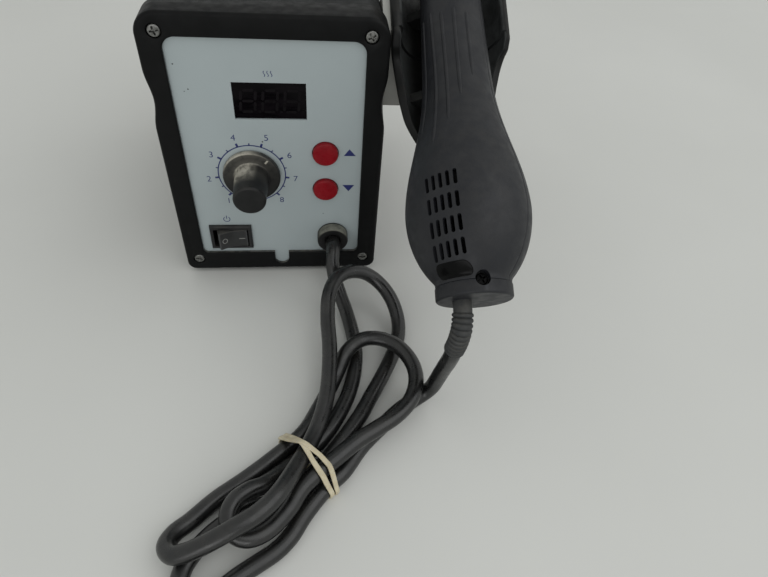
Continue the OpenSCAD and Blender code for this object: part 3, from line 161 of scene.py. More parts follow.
def shade(color, k):
    return tuple(c * k for c in color)


DUST, BARE_METAL = (0.36, 0.33, 0.27), (0.35, 0.35, 0.34)
# The third is the painted light on the handle holder's inner walls.
SMEAR_PALER, EDGE_PALER, LIT_WALL_PALER = 2.6, 4.0, 14.0
# The second is the painted shade in metal hollows.
FILM_DARKER, HOLLOW_DARKER = 0.25, 0.06


def plastic(name, color, rough, grain, grain_scale, blotch=0.2, wear=0.0, dust=0.0, smear=0.0,
            painted_wall_light=0.0, spec=0.5):
    """Moulded plastic: fine grain, cloudy colour, paler rubbed edges, and dust on what faces up.
    The walls that face the middle of the handle holder get painted light: they are made paler in patches."""
    p = Paint(name, spec=spec)
    base = p.mix(p.cloud(90), shade(color, 1 - blotch), shade(color, 1 + blotch))
    if smear:
        rubbed = p.ramp(p.noise(38, 6, 0.7, (1.0, 1.0, 0.45)), 0.52, 0.78, 0.0, smear)
        base = p.mix(rubbed, base, shade(color, SMEAR_PALER))
    if wear:
        base = p.mix(p.math("MULTIPLY", p.edges(0.53, 0.62), wear), base, shade(color, EDGE_PALER))
    # Painted light: walls that face the middle of the handle holder are made paler in patches.
    if painted_wall_light:
        off = p.math("ADD", p.place("X"), (ORIGIN[0] - HOLDER_X) * MM)
        inward = p.ramp(p.math("MULTIPLY", off, p.facing("X")), -0.006, -0.017)
        wall_light = p.math("MULTIPLY", inward, p.ramp(p.noise(60, 4), 0.2, 0.6), painted_wall_light)
        base = p.mix(wall_light, base, shade(color, LIT_WALL_PALER))
    if dust:
        lying = p.ramp(p.facing("Z"), 0.1, 0.95)
        patch = p.ramp(p.noise(150, 6, 0.7), 0.36, 0.66)
        base = p.mix(p.math("MULTIPLY", lying, patch, dust), base, DUST)
    p.bump(p.noise(grain_scale, 2), grain)
    p.done(base, p.cloud(240, 5, rough - 0.07, rough + 0.08))


def metal(name, color, rough, stretch, scratch, grime_and_shade):
    """Metal with drawn lines along one way, grime as a film, and painted shade that darkens its hollows."""
    p = Paint(name, metal=1.0)
    lines = p.noise(900, 3, 0.6, stretch)
    base = p.mix(p.ramp(lines, 0.3, 0.7), shade(color, 1 - scratch), shade(color, 1 + scratch / 2))
    film = p.ramp(p.noise(300, 5, 0.65), 0.45, 0.75, 0, grime_and_shade)
    base = p.mix(film, base, shade(color, FILM_DARKER))
    # Painted shade: hollows such as screw crosses are darkened.
    base = p.mix(p.math("MULTIPLY", p.edges(0.485, 0.44), grime_and_shade), base, shade(color, HOLLOW_DARKER))
    p.bump(lines, 0.01)
    p.done(base, p.ramp(lines, 0.2, 0.8, rough - 0.08, rough + 0.1))


def coated(name, color, rough, pimple=0.05, scale=1500, blotch=0.12, wear=0.0, spec=0.5):
    """Powder coat or lacquer on sheet metal: orange peel, soft clouds and chipped edges."""
    p = Paint(name, spec=spec)
    base = p.mix(p.cloud(45), shade(color, 1 - blotch), shade(color, 1 + blotch))
    if wear:
        base = p.mix(p.math("MULTIPLY", p.edges(0.54, 0.64), wear), base, BARE_METAL)
    p.bump(p.noise(scale, 2, 0.4), pimple)
    p.done(base, p.cloud(200, 4, rough - 0.06, rough + 0.08))


# Name, colour, roughness, depth and scale of the grain, spread of the colour
plastic("bezel_plastic", (0.0034, 0.0036, 0.0038), 0.5, 0.03, 3200, wear=0.35, dust=0.007, spec=0.14)
plastic("bezel_wall", (0.03, 0.031, 0.03), 0.28, 0.012, 3200, dust=0.3, spec=0.6)
plastic("switch_plastic", (0.008, 0.008, 0.0085), 0.42, 0.02, 3600, wear=0.4, dust=0.06, spec=0.3)
plastic("rocker_plastic", (0.021, 0.0215, 0.022), 0.42, 0.02, 3600, wear=0.8, dust=0.12, spec=0.35)
# The holder's inner walls get painted light.
plastic("holder_plastic", (0.0062, 0.0066, 0.0066), 0.48, 0.03, 2600, 0.15, wear=0.3, dust=0.03,
        painted_wall_light=0.8, spec=0.25)
plastic("handle_plastic", (0.0114, 0.0122, 0.0152), 0.5, 0.03, 2400, 0.07, wear=0.25, dust=0.02,
        smear=0.02, spec=0.37)
plastic("label_gloss", (0.0022, 0.0022, 0.0024), 0.2, 0.004, 900, spec=0.1)
plastic("boot_rubber", (0.034, 0.0354, 0.0364), 0.6, 0.03, 2000, wear=0.3, dust=0.12, spec=0.32)
plastic("cord_rubber", (0.0062, 0.0065, 0.0068), 0.3, 0.02, 1800, 0.15, dust=0.025, smear=0.03, spec=0.62)
plastic("foot_rubber", (0.012, 0.012, 0.012), 0.75, 0.05, 1500)
coated("cover_coat", (0.017, 0.0177, 0.0177), 0.55, 0.06, 1300, 0.15, spec=0.15)
coated("rear_coat", (0.44, 0.46, 0.46), 0.45)
coated("bracket_coat", (0.36, 0.36, 0.335), 0.5, 0.03, 900)
coated("collar_coat", (0.03, 0.03, 0.031), 0.4, 0.03, 1600, wear=0.4)
# Metals: colour, roughness, stretch of the lines, scratch, then grime with painted shade in the hollows.
metal("zinc_screw", (0.24, 0.24, 0.23), 0.36, (1, 6, 1), 0.3, 0.75)
metal("black_screw", (0.012, 0.012, 0.0125), 0.5, (1, 6, 1), 0.3, 0.6)
metal("plated_steel", (0.52, 0.53, 0.52), 0.34, (1, 14, 1), 0.2, 0.15)
metal("tinned_brass", (0.62, 0.56, 0.40), 0.32, (1, 8, 1), 0.2, 0.2)
metal("nickel_magnet", (0.55, 0.55, 0.54), 0.25, (1, 1, 1), 0.15, 0.2)
metal("lamination", (0.22, 0.225, 0.23), 0.5, (1, 60, 1), 0.5, 0.3)
plastic("fan_plastic", (0.004, 0.004, 0.0042), 0.6, 0.02, 2000, spec=0.1)
plastic("ceramic", (0.60, 0.56, 0.48), 0.75, 0.04, 1800, 0.1)
plastic("reed_glass", (0.012, 0.015, 0.012), 0.12, 0.002, 800, 0.1, spec=0.2)
plastic("grey_mark", (0.26, 0.26, 0.25), 0.5, 0.01, 1500, 0.12)
plastic("pointer_line", (0.40, 0.38, 0.32), 0.6, 0.02, 1500, 0.25)
plastic("unlit_segment", (0.0045, 0.0034, 0.0045), 0.3, 0.01, 900, 0.3, spec=0.1)
plastic("dark_recess", (0.006, 0.006, 0.006), 0.7, 0.02, 1500)


def barrel_paint():
    """Steel barrel with heat colours, straw and then blue, that grow towards its open end."""
    p = Paint("barrel_steel", metal=1.0)
    tilt = math.radians(30)
    along = p.math("ADD", p.math("MULTIPLY", p.place("Y"), math.cos(tilt)),
                   p.math("MULTIPLY", p.place("Z"), math.sin(tilt)))
    wave = p.math("ADD", along, p.math("MULTIPLY", p.noise(40, 4), 0.012))
    straw = p.mix(p.ramp(wave, 0.10, 0.135), (0.52, 0.51, 0.49), (0.46, 0.33, 0.17))
    blue = p.mix(p.ramp(wave, 0.135, 0.16), straw, (0.17, 0.15, 0.22))
    lines = p.noise(900, 3, 0.6, (1, 6, 1))
    p.bump(lines, 0.008)
    p.done(blue, p.ramp(lines, 0.2, 0.8, 0.24, 0.42))


def board_paint():
    """Green solder mask with fine copper tracks under it."""
    p = Paint("circuit_board")
    wave = p.node("TexWave", {"Vector": p.where, "Scale": 210, "Distortion": 9}, wave_profile="SAW")
    tracks = p.ramp(wave.outputs["Fac"], 0.48, 0.55)
    p.bump(tracks, 0.03)
    p.done(p.mix(tracks, (0.012, 0.10, 0.035), (0.03, 0.19, 0.07)), 0.35)


def coil_paint():
    """Amber tape over wound copper, with the turns showing as fine ridges."""
    p = Paint("coil_tape")
    inputs = {"Vector": p.where, "Scale": 420, "Distortion": 0.6}
    turns = p.node("TexWave", inputs, bands_direction="Z").outputs["Fac"]
    p.bump(turns, 0.12)
    p.done(p.mix(turns, (0.30, 0.13, 0.025), (0.52, 0.27, 0.06)), 0.3)


def panel_paint():
    """Pale lacquered panel: soft clouds, a fine satin grain, and scattered dark specks."""
    p = Paint("panel_lacquer", spec=0.35)
    base = p.mix(p.cloud(26, 5), (0.362, 0.412, 0.423), (0.379, 0.429, 0.44))
    haze = p.ramp(p.noise(70, 6, 0.7), 0.55, 0.85, 0.0, 0.15)
    base = p.mix(haze, base, (0.37, 0.42, 0.42))
    cells = p.node("TexVoronoi", {"Vector": p.where, "Scale": 130})
    rare = p.ramp(p.noise(47, 2), 0.60, 0.64)
    spot = p.math("MULTIPLY", p.ramp(cells.outputs["Distance"], 0.035, 0.06, 1.0, 0.0), rare)
    base = p.mix(spot, base, (0.05, 0.05, 0.05))
    p.bump(p.noise(1800, 2), 0.008)
    p.done(base, p.cloud(120, 4, 0.30, 0.44))


def print_paint():
    """Screen-printed dark blue ink, slightly thin in places."""
    p = Paint("navy_ink")
    thin = p.ramp(p.noise(700, 4, 0.6), 0.55, 0.8, 0.0, 0.25)
    p.bump(p.noise(2500, 2), 0.004)
    p.done(p.mix(thin, (0.011, 0.018, 0.12), (0.09, 0.115, 0.23)), 0.45)


def window_paint():
    """Smoked red filter: near black and glossy; faint smudges vary its gloss, and the same pattern paints pale patches
    of reflection into its colour.
    """
    p = Paint("smoked_window", spec=0.08)
    smudges_and_reflection = p.noise(60, 5, 0.6, (1, 1, 5))
    p.bump(p.noise(300, 2), 0.002)
    # Painted reflection: pale purple-grey patches in the near-black colour.
    base = p.mix(p.ramp(smudges_and_reflection, 0.4, 0.75), (0.0016, 0.0012, 0.0018), (0.006, 0.0045, 0.006))
    p.done(base, p.ramp(smudges_and_reflection, 0.3, 0.7, 0.07, 0.16))


def red_paint():
    """Glossy red button plastic, a little deeper in patches, with a fine rubbed grain."""
    p = Paint("button_red", spec=0.16)
    base = p.mix(p.cloud(160), (0.20, 0.006, 0.011), (0.25, 0.008, 0.014))
    base = p.mix(p.math("MULTIPLY", p.edges(0.55, 0.66), 0.3), base, (0.40, 0.03, 0.03))
    p.bump(p.noise(2600, 2), 0.008)
    p.done(base, p.cloud(400, 4, 0.22, 0.34))


def deep(y):
    """A depth of the building position, as the shared frame has it."""
    return (y - ORIGIN[1]) * MM


def knob_paint():
    """Black knob with beige dust on the skirt's upper half and on the grip near its root; the film also carries
    painted shade, as it is kept off the grip's right-facing side and thinned on the skirt towards the grip.
    """
    p = Paint("knob_plastic", spec=0.25)
    base = p.mix(p.cloud(130), (0.007, 0.0072, 0.0075), (0.012, 0.0122, 0.0125))
    patch = p.ramp(p.noise(170, 7, 0.7, distort=0.4), 0.32, 0.58, 0.3, 1.0)
    lying = p.ramp(p.facing("Z"), -0.1, 0.6)
    # Painted shade: the dust film is kept off the side of the grip that faces right.
    leftish = p.ramp(p.facing("X"), -0.25, 0.5, 1.0, 0.05)
    root = p.ramp(p.place("Y"), deep(-14.5), deep(-6.0), 0.03, 1.0)
    grip = p.math("MULTIPLY", lying, leftish, root)
    side = p.math("ADD", p.place("X"), (ORIGIN[0] - DIAL[0]) * MM)
    rise = p.math("ADD", p.place("Z"), -DIAL[1] * MM)
    square = p.math("ADD", p.math("MULTIPLY", side, side), p.math("MULTIPLY", rise, rise))
    # Painted shade: on the skirt the film thins towards the grip.
    edge = p.ramp(p.math("SQRT", square, 0.0), 0.0104, 0.0128, 0.12, 1.0)
    high = p.ramp(p.math("SUBTRACT", rise, p.math("MULTIPLY", side, 0.5)), -0.002, 0.012)
    skirt = p.math("MULTIPLY", edge, high, p.ramp(p.place("Y"), deep(-2.6), deep(-1.5)), 0.05)
    film = p.math("MULTIPLY", p.math("MAXIMUM", grip, skirt), patch)
    base = p.mix(p.math("MULTIPLY", film, 0.95), base, (0.46, 0.435, 0.37))
    p.bump(p.noise(1500, 4, 0.6), 0.03)
    p.done(base, p.ramp(film, 0.0, 0.6, 0.45, 0.85))


def gland_paint():
    """Black rubber, its upper side under a pale film of dust that stops short of the panel."""
    p = Paint("gland_rubber", spec=0.25)
    base = p.mix(p.cloud(150), (0.006, 0.006, 0.0062), (0.010, 0.010, 0.010))
    lying = p.ramp(p.facing("Z"), 0.1, 0.75)
    short = p.ramp(p.place("Y"), deep(0.7), deep(1.2), 1.0, 0.0)
    patch = p.ramp(p.noise(260, 6, 0.7), 0.3, 0.6, 0.45, 1.0)
    film = p.math("MULTIPLY", lying, short, patch)
    base = p.mix(p.math("MULTIPLY", film, 0.85), base, (0.25, 0.25, 0.21))
    p.bump(p.noise(2400, 3), 0.03)
    p.done(base, p.ramp(film, 0.0, 0.6, 0.55, 0.85))


def band_paint():
    """Cream rubber, cloudy, with a few darker creases and a little light in it."""
    p = Paint("band_rubber", spec=0.3)
    p.put(p.shader, {"Subsurface Weight": 0.15, "Subsurface Radius": (0.002, 0.0015, 0.0008)})
    base = p.mix(p.cloud(220), (0.50, 0.44, 0.31), (0.62, 0.56, 0.41))
    base = p.mix(p.ramp(p.noise(700, 4, 0.7), 0.62, 0.82, 0.0, 0.35), base, (0.33, 0.28, 0.18))
    p.bump(p.noise(1400, 3), 0.03)
    p.done(base, 0.55)


for paint in (barrel_paint, board_paint, coil_paint, panel_paint, print_paint, window_paint, red_paint,
              knob_paint, gland_paint, band_paint):
    paint()

NODE_PAINT = {
    "panel_lacquer": "front_panel", "smoked_window": "display_window", "circuit_board": "control_board",
    "switch_plastic": "display_module tact_switches switch_frame gland_nut mains_inlet power_rocker",
    "tinned_brass": "board_posts switch_terminals inlet_pins",
    "zinc_screw": "board_screws bezel_screws cover_screws rear_screws strap_screws bracket_screws collar_screws",
    "plated_steel": "airflow_pot base_plate transformer_strap pot_shaft", "gland_rubber": "cord_gland",
    "cover_coat": "case_cover", "foot_rubber": "rubber_feet", "bezel_plastic": "front_bezel rear_bezel",
    "rear_coat": "rear_panel", "lamination": "transformer_core", "coil_tape": "transformer_coil",
    "bracket_coat": "holder_bracket", "holder_plastic": "handle_holder", "nickel_magnet": "holder_magnet",
    "black_screw": "holder_screws cap_screws", "knob_plastic": "airflow_knob",
    "button_red": "button_up button_down", "handle_plastic": "upper_shell lower_shell end_cap",
    "label_gloss": "label_plate", "boot_rubber": "cord_boot", "collar_coat": "front_collar",
    "barrel_steel": "heater_barrel", "ceramic": "heater_core", "reed_glass": "reed_switch",
    "fan_plastic": "fan_housing fan_motor fan_impeller", "cord_rubber": "handle_cord",
    "band_rubber": "rubber_band",
}
for paint, names in NODE_PAINT.items():
    for name in names.split():
        nodes[name].data.materials.clear()
        nodes[name].data.materials.append(MATERIALS[paint])

# Mesh making
WELD = 1e-7
FULL_TURN = 2 * math.pi


def smooth(mesh, angle):
    mesh.polygons.foreach_set("use_smooth", [True] * len(mesh.polygons))
    mesh.set_sharp_from_angle(angle=math.radians(angle))


def seat(piece, body, node, slot=None):
    """Puts a piece on its body, in the place of a CAD node, which it hides. The slot is not used."""
    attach(piece, body)
    if node:
        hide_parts(node)
    slot or SLOT_OF[node]


def dress(mesh, name, body, paint, node=None, slot=None, angle=40):
    """Makes a mesh a smooth-shaded piece. Without a body it is not seated here."""
    smooth(mesh, angle)
    mesh.materials.clear()
    mesh.materials.append(MATERIALS[paint])
    piece = to_scene(name, mesh)
    if body:
        seat(piece, body, node, slot)
    return piece


class Shape:
    """Collects points in millimetres and faces, then becomes one object."""

    def __init__(self):
        self.points = []
        self.faces = []

    def ring(self, points):
        start = len(self.points)
        self.points += [tuple(map(float, p)) for p in points]
        return list(range(start, len(self.points)))

    def cap(self, *rings):
        self.faces += [tuple(ring) for ring in rings]

    def bridge(self, a, b, closed=True):
        count = len(a)
        for i in range(count if closed else count - 1):
            j = (i + 1) % count
            self.faces.append((a[i], a[j], b[j], b[i]))

    def skin(self, rings, closed=True):
        ids = [self.ring(r) for r in rings]
        for a, b in zip(ids, ids[1:]):
            self.bridge(a, b, closed)
        return ids

    def tube(self, rings):
        ids = self.skin(rings)
        self.cap(ids[0], ids[-1])

    def take(self, other, place):
        """Adds another shape, with each of its points put where place says."""
        start = len(self.points)
        self.ring(place(*p) for p in other.points)
        self.faces += [tuple(start + i for i in face) for face in other.faces]

    def fill(self, loops, axes=(0, 2)):
        """Triangles inside the first loop and outside the others, which all lie in one plane."""
        ids = [i for loop in loops for i in loop]
        flat = [Vector((self.points[i][axes[0]], self.points[i][axes[1]])) for i in ids]
        edges, start = [], 0
        for loop in loops:
            n = len(loop)
            edges += [(start + k, start + (k + 1) % n) for k in range(n)]
            start += n
        spots, _, faces, sources = geometry.delaunay_2d_cdt(flat, edges, [], 0, 1e-6)[:4]
        segments = [(flat[a], flat[b]) for a, b in edges]
        for face in faces:
            middle = sum((spots[k] for k in face), Vector((0, 0))) / len(face)
            crossings = sum(
                (a.y > middle.y) != (b.y > middle.y)
                and middle.x < (b.x - a.x) * (middle.y - a.y) / (b.y - a.y) + a.x
                for a, b in segments
            )
            if crossings % 2:
                self.faces.append(tuple(ids[sources[k][0]] for k in face))

    def build(self, name, body, paint, node=None, slot=None, angle=40, fix=True):
        mesh = bpy.data.meshes.new(name)
        mesh.from_pydata([tuple(p) for p in row(self.points)], [], self.faces)
        if fix:
            bm = bmesh.new()
            bm.from_mesh(mesh)
            bmesh.ops.remove_doubles(bm, verts=bm.verts, dist=WELD)
            bmesh.ops.recalc_face_normals(bm, faces=bm.faces)
            bm.to_mesh(mesh)
            bm.free()
        return dress(mesh, name, body, paint, node, slot, angle)


def cut(piece, tool):
    """Takes a shape's volume out of a piece that isn't seated yet."""
    cutter = tool.build("cutter", None, "dark_recess")
    modifier = piece.modifiers.new("cut", "BOOLEAN")
    modifier.operation, modifier.solver, modifier.object = "DIFFERENCE", "EXACT", cutter
    done = piece.evaluated_get(bpy.context.evaluated_depsgraph_get())
    old, mesh = piece.data, bpy.data.meshes.new_from_object(done)
    piece.modifiers.clear()
    piece.data = mesh
    bpy.data.meshes.remove(old)
    bpy.data.objects.remove(cutter)
    smooth(mesh, 40)


def arc(cx, cz, r, start, end, steps):
    angles = np.radians(np.linspace(start, end, steps + 1))
    return [(cx + r * math.cos(a), cz + r * math.sin(a)) for a in angles]


def circle(cx, cz, r, steps=48):
    return arc(cx, cz, r, 0, 360, steps)[:-1]


def bar(x0, z0, x1, z1):
    return [(x0, z0), (x1, z0), (x1, z1), (x0, z1)]


def mirrored(half):
    """An outline from its right half, which runs from the bottom to the top."""
    return half + [(-x, z) for x, z in reversed(half)]


def at_depth(outline, y):
    return [(x, y, z) for x, z in outline]


def round_turns(count):
    return np.linspace(0, FULL_TURN, count, endpoint=False)


def lathe(shape, profile, place, steps, ends=True):
    """Revolves (radius, along) pairs; place(radius, angle, along) gives the point."""
    ids = shape.skin([[place(r, a, along) for a in round_turns(steps)] for r, along in profile])
    for (r, _), ring in ((profile[0], ids[0]), (profile[-1], ids[-1])):
        if ends and r > 0:
            shape.cap(ring)


def facing_front(cx, cz):
    """Revolves about the depth direction, with the along value as y."""
    return lambda r, a, y: (cx + r * math.sin(a), y, cz + r * math.cos(a))


def rolled_edge(r, along, radius, steps, start=0):
    """Quarter round of a lathe profile from a flat front at along to the full radius r."""
    angles = np.radians(np.linspace(start, 90, steps))
    return [(r - radius + radius * math.sin(a), along + radius - radius * math.cos(a)) for a in angles]


# Bezels: outline with side notches, rounded outer edge, rounded opening and screw wells
HALF_W, FOOT_GAP, TOP_Z, BEZEL_D, STATION_D = 50.0, 2.3, 138.1, 14.0, 148.0
TOP_R, LOW_R, EDGE_R, LIP_R = 9.5, 4.5, 1.5, 0.7
BACK_EDGE, BACK_WALL, BACK_LAP = 0.4, 1.3, 2.0
NOTCH_MID, NOTCH_LEN, NOTCH_DEPTH = 101.0, 28.0, 1.8
OPEN_HALF, OPEN_LOW, OPEN_TOP, OPEN_TOP_R, OPEN_LOW_R = 40.4, 13.9, 128.4, 5.5, 2.5
TONGUE_R, TONGUE_Z = 3.7, 9.4
PANEL_Y = 2.0
SCREWS = [(42.1, 130.6), (-42.1, 130.6), (43.4, 9.95), (-43.4, 9.95)]
SCREW_WELL_R = 2.95
WELL_EDGE = ((0.25, 0.0), (0.07, 0.08), (0.0, 0.25), (0.0, 1.4))  # growth of the radius, depth


def notch(z):
    s = (z - NOTCH_MID) / NOTCH_LEN
    return NOTCH_DEPTH * math.cos(math.pi * s) ** 2 if abs(s) < 0.5 else 0.0


def bezel_outline(inset, share=1.0):
    heights = np.linspace(NOTCH_MID - NOTCH_LEN / 2, NOTCH_MID + NOTCH_LEN / 2, 37)
    half = arc(HALF_W - LOW_R, FOOT_GAP + LOW_R, LOW_R - inset, -90, 0, 12)
    half += [(HALF_W - inset - share * notch(z), z) for z in heights]
    half += arc(HALF_W - TOP_R, TOP_Z - TOP_R, TOP_R - inset, 0, 90, 18)
    return mirrored(half)


def opening_outline(grow):
    half = [(TONGUE_R + grow, OPEN_LOW - grow)]
    half += arc(OPEN_HALF - OPEN_LOW_R, OPEN_LOW + OPEN_LOW_R, OPEN_LOW_R + grow, -90, 0, 8)
    half += arc(OPEN_HALF - OPEN_TOP_R, OPEN_TOP - OPEN_TOP_R, OPEN_TOP_R + grow, 0, 90, 12)
    return mirrored(half) + arc(0, TONGUE_Z, TONGUE_R + grow, 180, 360, 20)


def rounding(outline, r, degrees):
    """Rings of a rounded edge, from the flat front to the wall behind it."""
    return [at_depth(outline(r * (1 - math.sin(a))), r * (1 - math.cos(a))) for a in np.radians(degrees)]


def bezel(name, node, rear):
    shape, wall = Shape(), Shape()
    rings = rounding(bezel_outline, EDGE_R, (0, 15, 30, 45, 60, 75, 90))
    for y in (4.0, 8.0, BEZEL_D - BACK_EDGE):
        rings.append(at_depth(bezel_outline(0.0, 1 - (y - EDGE_R) / (BEZEL_D - EDGE_R)), y))
    for inset, y in ((BACK_EDGE, BEZEL_D), (BACK_WALL, BEZEL_D), (BACK_WALL, BEZEL_D - BACK_LAP)):
        rings.append(at_depth(bezel_outline(inset, 0.0), y))
    skin = shape.skin(rings)
    lip = rounding(opening_outline, LIP_R, (0, 22, 45, 67, 90))
    mouth = shape.skin(lip)
    wall.skin([lip[-1], at_depth(opening_outline(0.0), PANEL_Y + 0.01)])
    wells = []
    for x, z in SCREWS:
        well = shape.skin([at_depth(circle(x, z, SCREW_WELL_R + grow), y) for grow, y in WELL_EDGE])
        shape.cap(well[-1])
        wells.append(well[0])
    shape.fill([skin[0], mouth[0]] + wells)
    if rear:
        for part in (shape, wall):
            part.points = [(x, STATION_D - y, z) for x, y, z in part.points]
    shape.build(name, "station", "bezel_plastic", node, angle=50)
    wall.build(name + "_wall", "station", "bezel_wall", slot=SLOT_OF[node], angle=50)


bezel("front_bezel_moulding", "front_bezel", False)
bezel("rear_bezel_moulding", "rear_bezel", True)

# Cross-head screws; the shares are of the head's radius
CROSS_ARM, CROSS_HALF, ARM_TAPER, FLOOR_ARM, FLOOR_HALF = 0.66, 0.17, 0.8, 0.72, 0.7
DOME_FLAT, DOME_DEGREES = 0.72, (18, 33, 48, 63, 78)
FIRST_SPIN, SPIN_STEP = 0.5, 1.31
BEZEL_HEAD_R, BEZEL_HEAD_H, BEZEL_HEAD_CROSS, BEZEL_HEAD_Y = 2.7, 0.85, 0.95, 0.95


def cross_outline(arm, half):
    points = []
    for c, s in ((1, 0), (0, 1), (-1, 0), (0, -1)):
        for x, z in ((half, half), (arm, half * ARM_TAPER), (arm, -half * ARM_TAPER), (half, -half)):
            points.append((x * c + z * s, -x * s + z * c))
    return points


def screw_head(r, height, depth):
    """Dome head with a tapered cross recess; y points out of the head."""
    head = Shape()
    rings = [at_depth(circle(0, 0, r, 40), 0.0)]
    top = math.sin(math.radians(DOME_DEGREES[-1]))
    for a in np.radians(DOME_DEGREES):
        dome_r = r * (DOME_FLAT + (1 - DOME_FLAT) * math.cos(a))
        rings.append(at_depth(circle(0, 0, dome_r, 40), height * math.sin(a) / top))
    dome = head.skin(rings)
    arm, half = r * CROSS_ARM, r * CROSS_HALF
    floor = at_depth(cross_outline(arm * FLOOR_ARM, half * FLOOR_HALF), height - depth)
    cross = head.skin([at_depth(cross_outline(arm, half), height), floor])
    head.cap(cross[1])
    head.fill([dome[-1], cross[0]])
    return head


def screw_set(name, node, body, places, r, height, depth, paint):
    """One object for a group of like screws. Each place is (origin, out, side) in millimetres."""
    head, shape = screw_head(r, height, depth), Shape()
    for k, (origin, out, side) in enumerate(places):
        up = np.cross(out, side)
        c, s = math.cos(FIRST_SPIN + SPIN_STEP * k), math.sin(FIRST_SPIN + SPIN_STEP * k)
        u, v = np.array(side) * c + up * s, up * c - np.array(side) * s
        shape.take(head, lambda x, y, z: np.array(origin) + x * u + y * np.array(out) + z * v)
    shape.build(name, body, paint, node, angle=35)


for name, node, y, out in (("front_screws", "bezel_screws", BEZEL_HEAD_Y, (0, -1, 0)),
                           ("rear_screws_heads", "rear_screws", STATION_D - BEZEL_HEAD_Y, (0, 1, 0))):
    screw_set(name, node, "station", [((x, y, z), out, (1, 0, 0)) for x, z in SCREWS],
              BEZEL_HEAD_R, BEZEL_HEAD_H, BEZEL_HEAD_CROSS, "zinc_screw")

# Panel print: dial ring, ticks, numbers, arrows and two plain signs
RING_R, RING_W, NUMBER_R, NUMBER_H, DIGIT_SHARE = 15.6, 0.55, 20.3, 3.1, 0.69
FIRST_TURN, LAST_TURN, TICKS = -136.0, 136.0, 15
MAJOR_TICK, MINOR_TICK = (1.9, 0.5), (1.15, 0.28)  # length, half width
PRINT_Y = PANEL_Y - 0.02
ARROWS = [[(34.6, 77.3), (32.0, 73.6), (37.7, 73.6)], [(31.7, 56.9), (37.5, 56.9), (34.7, 53.1)]]
SPECKS = [(-37.9, 116.7, 0.3), (-35.3, 104.9, 0.22), (-33.6, 105.9, 0.3)]
POWER_AT, POWER_SIZE, HEAT_AT, HEAT_SIZE = (-26.3, 35.6), 1.55, (-0.4, 113.4), 1.3
STROKE, HEAT_STEP, HEAT_SWING = 0.13, 1.15, 0.22  # half width; gap and swing of the heat waves
NUDGES = [(1.5, -1.4), (-0.15, -0.55), (-0.3, -0.2), (0.0, 0.3),
          (1.2, 0.35), (0.65, -0.35), (0.15, -0.35), (-1.0, -0.95)]


def on_dial(degrees, r, side=0.0):
    """A point at a turn from the dial's top, r out from its middle and some way to the side."""
    c, s = math.cos(math.radians(degrees)), math.sin(math.radians(degrees))
    return (DIAL[0] + r * s + side * c, DIAL[1] + r * c - side * s)


def printed(name, outlines, paint="navy_ink", shape=None):
    """Flat marks on the panel, filled inside their outlines."""
    shape = shape or Shape()
    for outline in outlines:
        shape.fill([shape.ring(at_depth(outline, PRINT_Y))])
    shape.build(name, "station", paint, slot="panel_print", fix=False)


def sign(name, outlines, centre, scale):
    printed(name, [[(centre[0] + x * scale, centre[1] + z * scale) for x, z in loop] for loop in outlines])


dial = Shape()
dial.skin([at_depth(circle(*DIAL, RING_R + grow, 144), PRINT_Y) for grow in (-RING_W / 2, RING_W / 2)])
ticks = []
for k, degrees in enumerate(np.linspace(FIRST_TURN, LAST_TURN, TICKS)):
    length, half = MINOR_TICK if k % 2 else MAJOR_TICK
    ticks.append([on_dial(degrees, *p) for p in bar(RING_R, -half, RING_R + length, half)])
printed("dial_print", ticks + ARROWS, shape=dial)
printed("panel_specks", [circle(*speck, 14) for speck in SPECKS], "dark_recess")
open_ring = arc(0, 0, 1 + STROKE, 125, 415, 40) + arc(0, 0, 1 - STROKE, 415, 125, 40)
sign("power_sign", [open_ring, bar(-STROKE, 0.15, STROKE, 1.45)], POWER_AT, POWER_SIZE)
for k in (-1, 0, 1):
    wave = [(k * HEAT_STEP - HEAT_SWING * math.sin(math.pi * z), z) for z in np.linspace(-1, 1, 25)]
    outline = [(x - STROKE, z) for x, z in wave] + [(x + STROKE, z) for x, z in reversed(wave)]
    sign(f"heat_sign_{k + 2}", [outline], HEAT_AT, HEAT_SIZE)

for k, degrees in enumerate(np.linspace(FIRST_TURN, LAST_TURN, len(NUDGES))):
    name = f"dial_number_{k + 1}"
    text = bpy.data.curves.new(name, "FONT")
    text.body = str(k + 1)
    text.size = NUMBER_H / DIGIT_SHARE * MM
    text.align_x, text.align_y = "CENTER", "CENTER"
    text.offset = -0.005 * MM
    letter = to_scene(name, text)
    bpy.context.view_layer.update()
    flat = bpy.data.meshes.new_from_object(letter.evaluated_get(bpy.context.evaluated_depsgraph_get()))
    bpy.data.objects.remove(letter)
    x, z = np.add(on_dial(degrees, NUMBER_R), NUDGES[k])
    flat.transform(Matrix.Translation(Vector(row((x, PRINT_Y, z)))) @ Matrix.Rotation(math.pi / 2, 4, "X"))
    dress(flat, name, "station", "navy_ink", slot="panel_print")

# Display: unlit digits behind the filter
DISPLAY, SEGMENT_Y, DIGIT_STEP = (-0.3, 100.5), 2.78, 9.4
DIGIT_HALF_W, DIGIT_HALF_H, DIGIT_LEAN, BAR_HALF = 3.1, 5.0, 0.09, 0.62
LEVEL_BAR, UPRIGHT_BAR = (DIGIT_HALF_W - 0.7, 0.5), (DIGIT_HALF_H / 2 - 0.25, 0.6)  # half length, taper
POINT_OFF, POINT_R = 1.5, 0.6


def bar_outline(half, taper):
    """Six-sided bar as (along, across) points."""
    flat = half - taper
    return [(-half, 0), (-flat, BAR_HALF), (flat, BAR_HALF), (half, 0), (flat, -BAR_HALF), (-flat, -BAR_HALF)]


